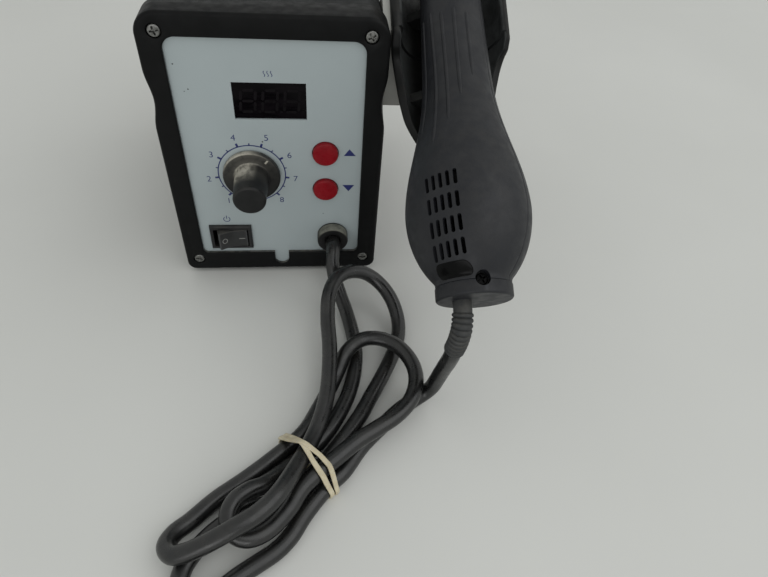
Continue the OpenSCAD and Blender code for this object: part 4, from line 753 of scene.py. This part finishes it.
digits = Shape()
for k in (-1, 0, 1):
    cx, cz = DISPLAY[0] + DIGIT_STEP * k, DISPLAY[1]
    bars = [[(x, z + level) for x, z in bar_outline(*LEVEL_BAR)] for level in (-DIGIT_HALF_H, 0, DIGIT_HALF_H)]
    for side in (-DIGIT_HALF_W, DIGIT_HALF_W):
        for level in (-DIGIT_HALF_H / 2, DIGIT_HALF_H / 2):
            bars.append([(side + x, level + z) for z, x in bar_outline(*UPRIGHT_BAR)])
    for outline in bars:
        digits.cap(digits.ring([(cx + x + DIGIT_LEAN * z, SEGMENT_Y, cz + z) for x, z in outline]))
    point = circle(cx + DIGIT_HALF_W + POINT_OFF, cz - DIGIT_HALF_H, POINT_R, 20)
    digits.cap(digits.ring(at_depth(point, SEGMENT_Y)))
digits.build("display_digits", "station", "unlit_segment", slot="smoked_window", fix=False)

# Airflow knob with its pointer line
KNOB_BACK, KNOB_FRONT, KNOB_ROUND, SOCKET_R, SHAFT_R = 1.5, -19.0, 1.3, 6.2, 3.1
GRIP_R, GRIP_SPREAD, SKIRT_R, SKIRT_T, SKIRT_ROUND, FILLET = 7.5, 0.5, 13.3, 3.0, 0.7, 0.8
SKIRT_Y = KNOB_BACK - SKIRT_T
POINTER_TURN, POINTER_FROM, POINTER_TO, POINTER_HALF = 40, 10.5, 12.5, 0.42
grip_from, grip_to = KNOB_FRONT + KNOB_ROUND, SKIRT_Y - FILLET
profile = [(r, KNOB_FRONT) for r in (0.0, 2.0, 4.0, 5.6)] + rolled_edge(GRIP_R, KNOB_FRONT, KNOB_ROUND, 8)
profile += [(GRIP_R + GRIP_SPREAD * s, grip_from + (grip_to - grip_from) * s) for s in (0.25, 0.5, 0.75, 1.0)]
for a in np.radians([20, 45, 70, 90]):
    profile.append((GRIP_R + GRIP_SPREAD + FILLET * (1 - math.cos(a)), grip_to + FILLET * math.sin(a)))
profile += [(SKIRT_R - 2.5, SKIRT_Y + 0.15)] + rolled_edge(SKIRT_R, SKIRT_Y + 0.25, SKIRT_ROUND, 6)
profile += [(SKIRT_R, KNOB_BACK - 0.3), (SKIRT_R - 0.3, KNOB_BACK), (SKIRT_R - 2.0, KNOB_BACK),
            (SKIRT_R - 2.2, KNOB_BACK - 1.4), (SOCKET_R, KNOB_BACK - 1.4), (SOCKET_R, KNOB_BACK - 5.5),
            (SHAFT_R, KNOB_BACK - 5.5)]
knob = Shape()
lathe(knob, profile, facing_front(*DIAL), 96)
knob.build("airflow_knob_moulding", "knob", "knob_plastic", "airflow_knob", angle=45)
rings = []
for lift, pinch in ((0.0, 0.0), (0.12, 0.0), (0.18, 0.12)):
    outline = bar(POINTER_FROM + pinch, pinch - POINTER_HALF, POINTER_TO - pinch, POINTER_HALF - pinch)
    rings.append(at_depth([on_dial(POINTER_TURN, *p) for p in outline], SKIRT_Y + 0.17 - lift))
pointer = Shape()
pointer.cap(pointer.skin(rings)[-1])
pointer.build("knob_pointer", "knob", "pointer_line", slot="knob_plastic")

# Push buttons: crowned cap with a soft edge, a flange behind the panel and a stem
BUTTON_R, BUTTON_FRONT, BUTTON_CROWN, BUTTON_ROUND = 6.0, PANEL_Y - 2.2, 0.35, 0.8
FLANGE_R, FLANGE_Y, FLANGE_T, STEM_R, STEM_Y = 7.0, PANEL_Y + 1.9, 0.9, 2.0, 10.0
BUTTONS = {"button_up": (23.4, 75.0), "button_down": (23.4, 54.6)}
profile = [(r, BUTTON_FRONT + BUTTON_CROWN * (r / BUTTON_R) ** 2) for r in (0.0, 1.5, 3.0, 4.2)]
profile += rolled_edge(BUTTON_R, BUTTON_FRONT + 0.26, BUTTON_ROUND, 7, 10)
profile += [(BUTTON_R, FLANGE_Y), (FLANGE_R, FLANGE_Y), (FLANGE_R, FLANGE_Y + FLANGE_T),
            (STEM_R, FLANGE_Y + FLANGE_T), (STEM_R, STEM_Y), (0.0, STEM_Y)]
for node, at in BUTTONS.items():
    button = Shape()
    lathe(button, profile, facing_front(*at), 80)
    button.build(node + "_cap", node, "button_red", node)

# Cord gland: round head with a rolled front edge and a dark ring round the cord
GLAND, GLAND_R, GLAND_BORE, GLAND_FRONT, GLAND_ROUND, NECK_OF_GLAND = (27.0, 25.0), 7.9, 3.6, -3.8, 0.9, 6.3
profile = [(GLAND_BORE, 11.5), (GLAND_BORE, -1.8), (3.75, -3.0), (4.3, -3.55), (5.0, -3.75)]
profile += rolled_edge(GLAND_R, GLAND_FRONT, GLAND_ROUND, 8)
profile += [(GLAND_R, 1.6), (GLAND_R - 0.25, 2.0), (NECK_OF_GLAND, 2.0), (NECK_OF_GLAND, 11.5), (GLAND_BORE, 11.5)]
gland = Shape()
lathe(gland, profile, facing_front(*GLAND), 80, ends=False)
gland.build("cord_gland_moulding", "station", "gland_rubber", "cord_gland", angle=45)

# Power switch: rocker with a dished face, and its two marks
SWITCH, ROCKER_AXIS_Y, ROCKER_TILT = (-25.1, 24.4), 3.5, math.radians(14)
TIP, LIFT, DIP, ROCKER_HALF = 7.3, 5.6, 1.3, 5.3
ROCKER_SIDES = ((-ROCKER_HALF, 0.35), (0.1 - ROCKER_HALF, 0.12), (0.35 - ROCKER_HALF, 0.0),
                (ROCKER_HALF - 0.35, 0.0), (ROCKER_HALF - 0.1, 0.12), (ROCKER_HALF, 0.35))  # height, inset
MARK_X, MARK_OUT, MARK_IN, MARK_PROUD = -4.3, (1.35, 1.6), (1.0, 1.25), 0.03


def dish(x):
    return -LIFT + DIP * (1 - (abs(x) / TIP) ** 1.6)


def tilted(x, y, z):
    c, s = math.cos(ROCKER_TILT), math.sin(ROCKER_TILT)
    return (SWITCH[0] + x * c - y * s, ROCKER_AXIS_Y + x * s + y * c, SWITCH[1] + z)


def on_rocker(x, z):
    return tilted(x, dish(x) - MARK_PROUD, z)


outline = [(-TIP, 1.0 - LIFT), (0.12 - TIP, 0.42 - LIFT)]
outline += [(x, dish(x)) for x in np.linspace(0.5 - TIP, TIP - 0.5, 25)]
outline += [(TIP - 0.12, 0.42 - LIFT), (TIP, 1.0 - LIFT), (TIP, 0), (3, 3), (-3, 3), (-TIP, 0)]
rocker = Shape()
ids = rocker.skin([
    [tilted(x * (1 - inset / TIP), y + (inset if y < 0 else -inset), z) for x, y in outline]
    for z, inset in ROCKER_SIDES
])
for ring in (ids[0], ids[-1]):
    rocker.fill([ring], (0, 1))
rocker.build("power_rocker_moulding", "rocker", "rocker_plastic", "power_rocker", angle=45)
marks = Shape()
marks.skin([
    [on_rocker(MARK_X + half_x * math.cos(a), half_z * math.sin(a)) for a in round_turns(40)]
    for half_x, half_z in (MARK_OUT, MARK_IN)
])
for x in (2.9, 3.9, 4.9):
    marks.cap(marks.ring([on_rocker(*p) for p in bar(x, -0.2, x + 1, 0.2)]))
marks.build("rocker_marks", "rocker", "grey_mark", slot="switch_black", fix=False)

# Handle frame: along is measured on the handle's axis from the middle of the bulb, and the angle
# round it from the upper side, positive towards the right
AXIS_AT = np.array([78.6, -54.6, 84.4])
TILT, ROLL, SEAM = math.radians(30), math.radians(-33), math.radians(-41)
ALONG = np.array([0, math.cos(TILT), math.sin(TILT)])
UP = np.array([0, -math.sin(TILT), math.cos(TILT)])
ACROSS = np.array([1.0, 0, 0])
GRIP_END, GRIP_THIN, TAPER = 100.0, 13.1, 0.035
BULB_R, BULB_RUN, BULB_BACK, NECK_R, NECK_FROM, NECK_SOFT = 25.0, 66.0, 34.4, 14.8, -18.0, 0.3888
FLARE_LEN, FLARE_R, SHELL_T, CAP_JOINT = 12.0, 17.0, 2.0, 29.6
SEAM_EDGE = [(-90.0, 0.8), (-89.7, 0.45), (-89.3, 0.18), (-88.7, 0.04)]  # degrees, depth of the soft edge


def in_handle(x, up, along):
    return AXIS_AT + x * ACROSS + up * UP + along * ALONG


def on_handle(r, angle, along):
    return in_handle(r * math.sin(angle), r * math.cos(angle), along)


def handle_r(t):
    """The handle's outer radius at a place along its axis."""
    if t < 0:
        back = BULB_R * math.sqrt(max(0.0, 1 - (t / BULB_BACK) ** 2))
        d = back - NECK_R
        return NECK_R + (d + math.sqrt(d * d + NECK_SOFT)) / 2 if t < NECK_FROM else back
    swell = ((1 + math.cos(math.pi * min(1.0, t / BULB_RUN))) / 2) ** 1.5
    flare = (max(0.0, t - GRIP_END) / FLARE_LEN) ** 2 * (FLARE_R - GRIP_THIN + TAPER * FLARE_LEN)
    root = GRIP_THIN + TAPER * GRIP_END
    return GRIP_THIN + TAPER * (GRIP_END - t) + (BULB_R - root) * swell + flare


def shell_half(name, middle):
    """Half of the handle's shell about a middle angle, with softly broken edges along the parting line."""
    shape = Shape()
    alongs = [*np.linspace(-CAP_JOINT, -14, 22), *np.linspace(-12.8, 70, 64), *np.linspace(72.5, 112, 28)]
    turns = SEAM_EDGE + [(a, 0.0) for a in np.linspace(-88, 88, 133)] + [(-a, d) for a, d in SEAM_EDGE[::-1]]
    turns = [(middle + math.radians(a), d) for a, d in turns]
    out_ids = shape.skin([[on_handle(handle_r(t) - d, a, t) for a, d in turns] for t in alongs], closed=False)
    in_ids = shape.skin([[on_handle(handle_r(t) - SHELL_T, a, t) for a, d in turns] for t in alongs], closed=False)
    for k in (0, -1):
        shape.bridge(out_ids[k], in_ids[k], closed=False)
        shape.bridge([r[k] for r in out_ids], [r[k] for r in in_ids], closed=False)
    return shape.build(name, None, "handle_plastic", angle=50)


def stadium(length, width, steps=10):
    """Upright slot with round ends."""
    h = (length - width) / 2
    return arc(0, h, width / 2, 0, 180, steps) + arc(0, -h, width / 2, 180, 360, steps)


SLOT_ROWS = [(6.4, 6.4), (-2.5, 6.1), (-11.1, 6.0), (-19.1, 5.7)]  # middle along the handle, length
SLOT_STEP, SLOT_RISE, SLOT_W, SLOT_REACH = 2.81, 0.27, 1.5, 4.0
SLOT_OFF, SLOT_BOW, SLOT_BOW_STEP, SLOT_BOW_AT = -1.25, 0.0033, 0.00045, -6.3
CAP_HOLE_R, CAP_WELL_R = 2.9, NECK_R - 3.2
CAP_SCREW_ANGLES = [ROLL + math.radians(32) + k * FULL_TURN / 3 for k in range(3)]


def cut_slot(tool, column, middle, length):
    """Adds one vent slot, square to the bulb's surface along a gently bowed column."""
    rings = [[], []]
    for x, z in stadium(length, SLOT_W):
        t = middle + z + column * SLOT_RISE
        bow = (SLOT_BOW - SLOT_BOW_STEP * column) * (t - SLOT_BOW_AT) ** 2
        angle = ROLL + math.asin((column * SLOT_STEP + SLOT_OFF - bow + x) / handle_r(t))
        for ring, reach in zip(rings, (-SLOT_REACH, SLOT_REACH)):
            ring.append(on_handle(handle_r(t) + reach, angle, t))
    tool.tube(rings)


def cut_cap_wells(tool):
    """Adds the three screw wells that cap and shells share."""
    for a in CAP_SCREW_ANGLES:
        c, s = math.cos(a), math.sin(a)
        tool.tube([
            [in_handle(x * c + r * s, r * c - x * s, z - CAP_JOINT) for x, z in circle(0, 0, CAP_HOLE_R, 32)]
            for r in (CAP_WELL_R, 2 * NECK_R)
        ])


for node, middle, columns in (("upper_shell", SEAM, range(-2, 3)), ("lower_shell", SEAM + math.pi, ())):
    shell, tool = shell_half(node + "_moulding", middle), Shape()
    cut_cap_wells(tool)
    for column in columns:
        for slot_row in SLOT_ROWS:
            cut_slot(tool, column, *slot_row)
    cut(shell, tool)
    seat(shell, "handle", node)

# Holder: trough with rounded wings, a front edge that drops off behind a corner, and two low saddles
HOLDER_R, HOLDER_T, HOLDER_STEP, HOLDER_OFF, HOLDER_END = 25.6, 4.0, 0.9, -1.35, 122.0
WING_STEPS, WING_UP, WING_RAKE, SLIM, SLIM_TURN = 5, 3.0, 0.85, 1.6, 30.0
TROUGH_STEPS, TROUGH_TURN, STEP_AT = 60, 180, 82.0
LIP_TURN = [0, 9.4, 13.9, 20.2, 25.9, 31.5, 40.9, 59, 75, 90]
LIP_ALONG = [75.5, 74.7, 73.5, 70.3, 65.3, 58.5, 49.5, 41, 34, 29.6]
BROW = np.radians([30, 60, 90, 120, 150])
SADDLES, SADDLE_T, SADDLE_R, SADDLE_GAP = (58.0, 98.0), 4.0, 23.0, 0.3


def in_holder(x, up, along):
    return in_handle(HOLDER_OFF + x, up, along)


def holder_ring(inset, thick, along):
    """One closed loop of the wall, from the left wing's outer side round to its inner side;
    along(front) gives each point's place on the axis."""
    outer, inner, fronts = [], [], []
    for k in range(-WING_STEPS, TROUGH_STEPS + 1 + WING_STEPS):
        turn = min(max(k, 0), TROUGH_STEPS) * TROUGH_TURN / TROUGH_STEPS
        high = WING_UP * max(-k, k - TROUGH_STEPS, 0) / WING_STEPS
        slim = thick - SLIM * max(0.0, 1 - (TROUGH_TURN - turn) / SLIM_TURN)
        a = math.radians(TROUGH_TURN - turn)
        fronts.append(np.interp(min(turn, TROUGH_TURN - turn), LIP_TURN, LIP_ALONG) + WING_RAKE * high)
        for side, r in ((outer, HOLDER_R - inset), (inner, HOLDER_R - slim + inset)):
            side.append((r * math.cos(a), high - r * math.sin(a), along(fronts[-1])))

    def brow(first, last, front):
        middle, r = (first[0] + last[0]) / 2, (first[0] - last[0]) / 2
        rise = abs(r) * np.sin(BROW)
        return [(middle + r * math.cos(a), first[1] + h, along(front + WING_RAKE * h)) for a, h in zip(BROW, rise)]

    loop = outer + brow(outer[-1], inner[-1], fronts[-1]) + inner[::-1] + brow(inner[0], outer[0], fronts[0])
    return [in_holder(*p) for p in loop]


holder = Shape()
rings = [holder_ring(inset, HOLDER_T, lambda front: front + back)
         for inset, back in ((1.0, 0.0), (0.45, 0.12), (0.12, 0.45), (0.0, 1.0))]
rings += [holder_ring(0.0, HOLDER_T, lambda front: front + 1 + (STEP_AT - front - 1) * share)
          for share in (0.25, 0.5, 0.75, 1.0)]
rings += [holder_ring(inset, HOLDER_T + HOLDER_STEP, lambda front: t)
          for inset, t in ((0, STEP_AT + 0.5), (0, 95), (0, 108), (0, HOLDER_END - 0.6), (0.5, HOLDER_END))]
ids = holder.skin(rings)
run, ends = TROUGH_STEPS + 1 + 2 * WING_STEPS, len(BROW)
for ring in (ids[0], ids[-1]):
    holder.bridge(ring[:run], ring[run + ends:2 * run + ends][::-1], closed=False)
    holder.cap(ring[run - 1:run + ends + 1], ring[2 * run + ends - 1:] + [ring[0]])
turns = np.radians(np.linspace(-50, 50, 41))
for start in SADDLES:
    rings = []
    for t in (start, start + SADDLE_T):
        bed = handle_r(t) + SADDLE_GAP
        low = [in_holder(SADDLE_R * math.sin(a), -SADDLE_R * math.cos(a), t) for a in turns]
        rings.append(low + [in_handle(bed * math.sin(a), -bed * math.cos(a), t) for a in turns[::-1]])
    for ring in holder.skin(rings):
        holder.bridge(ring[:len(turns)], ring[len(turns):][::-1], closed=False)
holder.build("handle_holder_moulding", "station", "holder_plastic", "handle_holder", angle=45)

# Grip ribs: shallow rounded ridges with faded ends
RIB_PITCH, RIB_W, RIB_H, RIB_ROOT, RIB_SINK = math.radians(22), 1.8, 0.45, -0.25, 0.12
RIB_IN, RIB_OUT, RIB_POINT = 5.0, 2.5, 0.35  # lengths of the faded ends, share of the width at a tip
RIBS = [(32, 86, 1.5), (24, 87, 2.4), (33, 85, 1.3), (44, 86, 0), (53, 84, 0)]  # from, to, lean in degrees
for k, (t0, t1, lean) in enumerate(RIBS):
    rings = []
    for t in np.linspace(t0, t1, 60):
        r = handle_r(t)
        angle = ROLL + (k - 2) * RIB_PITCH + math.asin((t1 - t) * math.sin(math.radians(lean)) / r)
        fade = math.sqrt(max(0.0, min(1.0, (t - t0) / RIB_IN, (t1 - t) / RIB_OUT)))
        half = RIB_W * (RIB_POINT + (1 - RIB_POINT) * fade) / 2 / r
        sink = RIB_SINK if fade < 0.05 else 0.0
        ring = [on_handle(r + RIB_ROOT, angle - half, t)]
        for s in np.linspace(-1, 1, 11)[1:-1]:
            high = RIB_H * fade * math.cos(s * math.pi / 2) ** 0.8
            ring.append(on_handle(r + high - sink, angle + s * half, t))
        rings.append(ring + [on_handle(r + RIB_ROOT, angle + half, t)])
    rib = Shape()
    rib.skin(rings, closed=False)
    rib.build(f"grip_rib_{k + 1}", "handle", "handle_plastic", slot="handle_plastic", angle=60)

# Blank label plate: a glossy stadium set into the slope behind the bulb
LABEL_AT, LABEL_TURN, LABEL_W, LABEL_H, LABEL_STEP = -25.9, math.radians(-8), 15.2, 5.4, 0.6
LABEL_EDGE = ((0.0, -0.6), (0.0, 0.06), (-0.12, 0.14), (-0.35, 0.17))  # growth, height over the shell


def on_label(x, z, proud):
    r = handle_r(LABEL_AT + z) + proud
    return on_handle(r, ROLL + LABEL_TURN + x / r, LABEL_AT + z)


def label_outline(grow):
    """Lying stadium with points close together on its straight sides too."""
    corners = np.array([(b, a) for a, b in stadium(LABEL_W + 2 * grow, LABEL_H + 2 * grow, 14)])
    points = []
    for here, after in zip(corners, np.roll(corners, -1, axis=0)):
        count = max(1, round(math.dist(here, after) / LABEL_STEP))
        points += [here + (after - here) * k / count for k in range(count)]
    return points


label = Shape()
ids = label.skin([[on_label(*p, proud) for p in label_outline(grow)] for grow, proud in LABEL_EDGE])
last_grow, last_proud = LABEL_EDGE[-1]
for share in (0.8, 0.6, 0.4, 0.2):
    ids.append(label.ring([on_label(*(p * share), last_proud) for p in label_outline(last_grow)]))
    label.bridge(ids[-2], ids[-1])
label.cap(ids[-1])
label.build("label_plate_gloss", "handle", "label_gloss", "label_plate")

# End cap with a rolled edge, the boot's hole and three screw wells
CAP_END, CAP_R, CAP_ROUND, CAP_WALL, PLUG_R, PLUG_T = -35.2, 15.1, 1.0, 3.0, 12.6, 2.0
BOOT_OFF, BOOT_NECK, BOOT_GAP = -5.0, 3.7, 0.1
CAP_HEAD_R, CAP_HEAD_H, CAP_HEAD_CROSS = 2.5, 1.3, 1.1
profile = [(r, CAP_END) for r in (0.0, 4.0, 8.0, 12.0)] + rolled_edge(CAP_R, CAP_END, CAP_ROUND, 10)
profile += [(CAP_R, -CAP_JOINT - 0.5), (CAP_R - 0.15, -CAP_JOINT - 0.2), (CAP_R - 0.5, -CAP_JOINT - 0.02),
            (PLUG_R, -CAP_JOINT - 0.02), (PLUG_R, CAP_WALL - CAP_JOINT), (PLUG_R - PLUG_T, CAP_WALL - CAP_JOINT),
            (PLUG_R - PLUG_T, CAP_END + CAP_WALL), (0.0, CAP_END + CAP_WALL)]
cap, tool = Shape(), Shape()
lathe(cap, profile, on_handle, 112)
cap_piece = cap.build("end_cap_moulding", None, "handle_plastic")
cut_cap_wells(tool)
hole = circle(BOOT_OFF, 0, BOOT_NECK + BOOT_GAP, 40)
tool.tube([[in_handle(*p, t) for p in hole] for t in (CAP_END - 1, -CAP_JOINT)])
cut(cap_piece, tool)
seat(cap_piece, "handle", "end_cap", "handle_plastic")
outward = [math.sin(a) * ACROSS + math.cos(a) * UP for a in CAP_SCREW_ANGLES]
places = [(in_handle(0, 0, -CAP_JOINT) + CAP_WELL_R * out, out, ALONG) for out in outward]
screw_set("cap_screw_heads", "cap_screws", "handle", places, CAP_HEAD_R, CAP_HEAD_H, CAP_HEAD_CROSS, "black_screw")

# Cord route: the points of the CAD source, but for the last 6 cm, which follow the photo more closely
CORD_R = 3.5
ROUTE = [
    (27, 8, 25), (27, -2, 25), (27, -10, 25), (26.5, -16, 21.5), (27.5, -21, 15.5), (30, -27, 9.5),
    (33, -36, 5.5), (35.5, -50, 4), (36, -64, 4), (33, -80, 4), (26.3, -95.5, 4.5), (16.2, -109.9, 5),
    (4.2, -120.4, 6.2), (-3.5, -128.3, 10.8), (-8.8, -131.3, 13), (-13.8, -135.4, 14), (-16, -141.2, 13.6),
    (-14, -146.6, 12.5), (-8.4, -148.8, 11.5), (-1.2, -146, 11.2), (5.8, -138.9, 11.4), (12, -130, 12),
    (24.5, -119.5, 12), (34, -112, 12), (43, -106.5, 12), (52, -100.5, 12), (59, -92.5, 12.5), (62, -82.5, 13),
    (60.5, -72.5, 13), (55, -64, 13), (46.5, -59.5, 13), (38, -60.5, 13), (31, -66, 10.5), (26.5, -74, 5.5),
    (22.5, -82, 4), (17.5, -92, 4), (11.1, -103.7, 5), (-0.4, -114, 5), (-11.5, -122.5, 4.5), (-22.5, -130, 4),
    (-31, -138, 4.5), (-36.2, -143, 6), (-37.9, -148.4, 8.5), (-34.6, -152.7, 11.3), (-28.6, -153.1, 14.2),
    (-20, -151.2, 18.2), (-11.5, -147.8, 20.8), (-4.5, -144, 21.5), (2.5, -137, 21), (9.5, -123.5, 16.5),
    (14.5, -112, 13), (18.5, -102, 12.5), (21.5, -91, 13.5), (23, -79, 15), (23.5, -66, 17), (23, -52, 19.5),
    (24, -40, 23), (28, -31, 25), (34.5, -25.5, 24), (42.5, -22.5, 20), (50, -24.5, 15), (55.5, -30.5, 10.5),
    (58.5, -39, 6.5), (58.5, -49, 4.2), (55, -60.5, 4), (49.5, -72, 4), (42.5, -84.5, 4), (34.5, -98.4, 4.5),
    (21.3, -116.2, 5), (9.3, -127, 4.8), (-1, -132.6, 4), (-11, -135.5, 4), (-19.5, -140.5, 4),
    (-26.5, -147, 4), (-31.4, -154.2, 4), (-32.6, -160, 4), (-32.4, -163.8, 4), (-30, -166.9, 4),
    (-26.3, -168.1, 4), (-22.6, -166.9, 4), (-17.2, -163, 4), (-12, -159.3, 4), (-5.2, -155.3, 4),
    (1.2, -151.4, 4), (6.6, -146.2, 4.2), (12.2, -138, 4.8), (20.9, -127.8, 5), (27.5, -122, 5),
    (35.8, -110.6, 4), (45.2, -101.5, 4), (54, -93.6, 4), (60.8, -89, 4.2), (66, -86.6, 6),
    (69.2, -86.1, 10.4), (70.4, -86.6, 16.4), (71, -87.8, 22.9), (71.5, -89.4, 29.8), (71.9, -91.3, 36.8),
    (72.05, -92.9, 43), (72.07, -93.3, 46.35),
]


def smooth_route(points, steps):
    """Catmull-Rom curve through the points."""
    p = np.array(points, float)
    p = np.concatenate([p[:1], p, p[-1:]])
    out = []
    for a, b, c, d in zip(p, p[1:], p[2:], p[3:]):
        for u in np.arange(steps) / steps:
            bend = (2 * a - 5 * b + 4 * c - d) * u ** 2 + (3 * b - a - 3 * c + d) * u ** 3
            out.append((2 * b + (c - a) * u + bend) / 2)
    return np.array(out + [p[-1]])


def run_lengths(path):
    return np.concatenate([[0], np.cumsum(np.linalg.norm(np.diff(path, axis=0), axis=1))])


def sweep(path, radii, sides):
    """Round tube along a path, with its rings turned as little as possible."""
    way = np.gradient(path, axis=0)
    way /= np.linalg.norm(way, axis=1)[:, None]
    side = np.cross(way[0], (0.3, 0.2, 1.0))
    rings = []
    for at, along, r in zip(path, way, radii):
        side = side - along * (side @ along)
        side /= np.linalg.norm(side)
        other = np.cross(along, side)
        rings.append([at + r * (math.cos(a) * side + math.sin(a) * other) for a in round_turns(sides)])
    shape = Shape()
    shape.tube(rings)
    return shape


cord_path = smooth_route(ROUTE, 6)
cord = sweep(cord_path, [CORD_R] * len(cord_path), 24)
cord_piece = cord.build("handle_cord_rubber", None, "cord_rubber", angle=60)

# Boot: ribs that follow the bend from the cap to the cord
BOOT_RIBS, BOOT_R, BOOT_GROOVE, RIBS_FROM = 10, 4.25, 0.9, 8.4
BOOT_BEND = [(73.2, -92.8, 60.1), (72.6, -94.1, 53.6), (72.1, -93.35, 47.0)]
boot_path = smooth_route([in_handle(BOOT_OFF, 0, CAP_END - d) for d in (-4, 0, 4)] + BOOT_BEND, 70)
lengths = run_lengths(boot_path)
radii = []
for s in lengths:
    phase = (s - RIBS_FROM) / (lengths[-1] - RIBS_FROM) * BOOT_RIBS % 1.0
    rib = BOOT_R - BOOT_GROOVE + BOOT_GROOVE * math.sin(math.pi * phase) ** 0.55
    radii.append(BOOT_NECK if s < RIBS_FROM else rib)
boot_piece = sweep(boot_path, radii, 40).build("cord_boot_ribs", "handle", "boot_rubber", "cord_boot", angle=60)

# Rubber band: two wraps that cross over the top of the gathered cord
BAND_AT, BAND_TURN, BAND_GAP, BAND_HALF_T, TABLE_GAP = np.array([13.0, -118.3, 0.0]), math.radians(40), 0.4, 0.45, 0.06
BUNDLE = np.array([math.cos(BAND_TURN), math.sin(BAND_TURN), 0])
OVER = np.array([math.sin(BAND_TURN), -math.cos(BAND_TURN), 0])
LANES = [(-12, 5), (12.2, 5), (8.2, 12.1), (-1.4, 15.6), (-12.3, 5.2)]  # outer strands: across, height
BAND_ACROSS = [-16, -10, -5, 0, 5, 10, 13, 16]
TOP_FROM, TOP_RUN = 3.0, 5.0


def band_outline(clear):
    """Points round the gathered strands, at a clearance from each, as across and height."""
    cloud = [p for lane in LANES for p in arc(*lane, clear, 0, 360, 89)]
    hull = [cloud[i] for i in geometry.convex_hull_2d([Vector(p) for p in cloud])]
    loop = np.array(hull + [hull[0]])
    s = run_lengths(loop)
    even = np.linspace(0, s[-1], 260, endpoint=False)
    return np.stack([np.interp(even, s, loop[:, 0]), np.interp(even, s, loop[:, 1])], axis=1)


def squared(value, power):
    return math.copysign(abs(value) ** power, value)


def band_wrap(name, top_offsets, low_offset, width, lift):
    """One flat wrap; above, its place along the bundle follows the offsets at the places across."""
    loop = band_outline(CORD_R + BAND_GAP + lift)
    rings = []
    for k, (c, z) in enumerate(loop):
        run = loop[(k + 1) % len(loop)] - loop[k - 1]
        run /= np.linalg.norm(run)
        top = min(1.0, max(0.0, (z - TOP_FROM) / TOP_RUN))
        over = np.interp(c, BAND_ACROSS, top_offsets)
        along = low_offset + (over - low_offset) * top * top * (3 - 2 * top)
        half = width / 2 * (1 + 0.05 * math.sin(k * 0.11 + 2 * lift))
        ring = []
        for a in round_turns(16):
            w = along + half * squared(math.cos(a), 0.5)
            h = BAND_HALF_T * (1 + squared(math.sin(a), 0.8))
            height = max(TABLE_GAP, z - run[0] * h)
            ring.append(BAND_AT + (c + run[1] * h) * OVER + w * BUNDLE + np.array([0, 0, height]))
        rings.append(ring)
    shape = Shape()
    ids = shape.skin(rings)
    shape.bridge(ids[-1], ids[0])
    return shape.build(name, "station", "band_rubber", "rubber_band", angle=60)


bands = [
    band_wrap("rubber_band_one", [1.0, 0.9, 0.4, -0.5, -1.3, -1.7, -1.6, -1.2], -1.2, 2.2, 0.0),
    band_wrap("rubber_band_two", [-1.2, -1.1, -0.4, 0.9, 2.2, 2.6, 2.0, 1.2], 1.3, 2.1, 0.35),
]

# The cord's mesh is baked into the shared frame and the CAD cord is hidden.
tuple(row((65.6, -88, 3)))
tuple(row((83.03, -88, 8.23)))
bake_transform(cord_piece)
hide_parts("handle_cord")
tuple(row((27, -3, 25)))
[tuple(p) for p in row(cord_path)]

# Small rounding on the CAD pieces that keep their own shape
ROUNDED = {
    "switch_frame": 0.25, "holder_bracket": 0.5, "mains_inlet": 0.3, "front_collar": 0.2, "case_cover": 0.2,
    "display_window": 0.15, "front_panel": 0.15, "rear_panel": 0.15, "rubber_feet": 0.4,
}
for name, width in ROUNDED.items():
    bevel = nodes[name].modifiers.new("rounding", "BEVEL")
    bevel.width = width * MM
    bevel.segments = 3
    bevel.limit_method = "ANGLE"
    bevel.angle_limit = math.radians(50)
    bevel.harden_normals = False

# Table, studio light and world, in metres
TABLE_HALF, WORLD_COLOR, WORLD_STRENGTH = 4.0, (0.98, 1.0, 0.98, 1.0), 0.58
p = Paint("table_white")
p.bump(p.noise(1500, 2), 0.01)
p.done(p.mix(p.cloud(3.5), (0.645, 0.648, 0.622), (0.675, 0.678, 0.652)), 0.55)
table = bpy.data.meshes.new("table_top")
corners = bar(-TABLE_HALF, -TABLE_HALF, TABLE_HALF, TABLE_HALF)
table.from_pydata([(x, y, 0) for x, y in corners], [], [(0, 1, 2, 3)])
table.materials.append(MATERIALS["table_white"])
to_scene("table_top", table)


def area_light(name, at, aim, size_x, size_y, power, color=(1, 1, 1)):
    data = bpy.data.lights.new(name, "AREA")
    data.shape = "RECTANGLE"
    data.size, data.size_y, data.energy, data.color = size_x, size_y, power, color
    lamp = to_scene(name, data)
    lamp.location = at
    lamp.rotation_euler = (Vector(aim) - Vector(at)).to_track_quat("-Z", "Y").to_euler()


area_light("ceiling_light", (1.05, -0.7, 1.45), (0.05, -0.05, 0.0), 2.4, 2.0, 12.5, (0.98, 0.99, 1.0))
area_light("window_fill", (-0.35, -1.4, 0.28), (0.0, 0.0, 0.05), 1.0, 0.5, 2.6)

world = bpy.data.worlds.new("soft_room")
world.use_nodes = True
background = world.node_tree.nodes["Background"]
background.inputs["Color"].default_value = WORLD_COLOR
background.inputs["Strength"].default_value = WORLD_STRENGTH
scene.world = world
scene.view_settings.view_transform = "Standard"
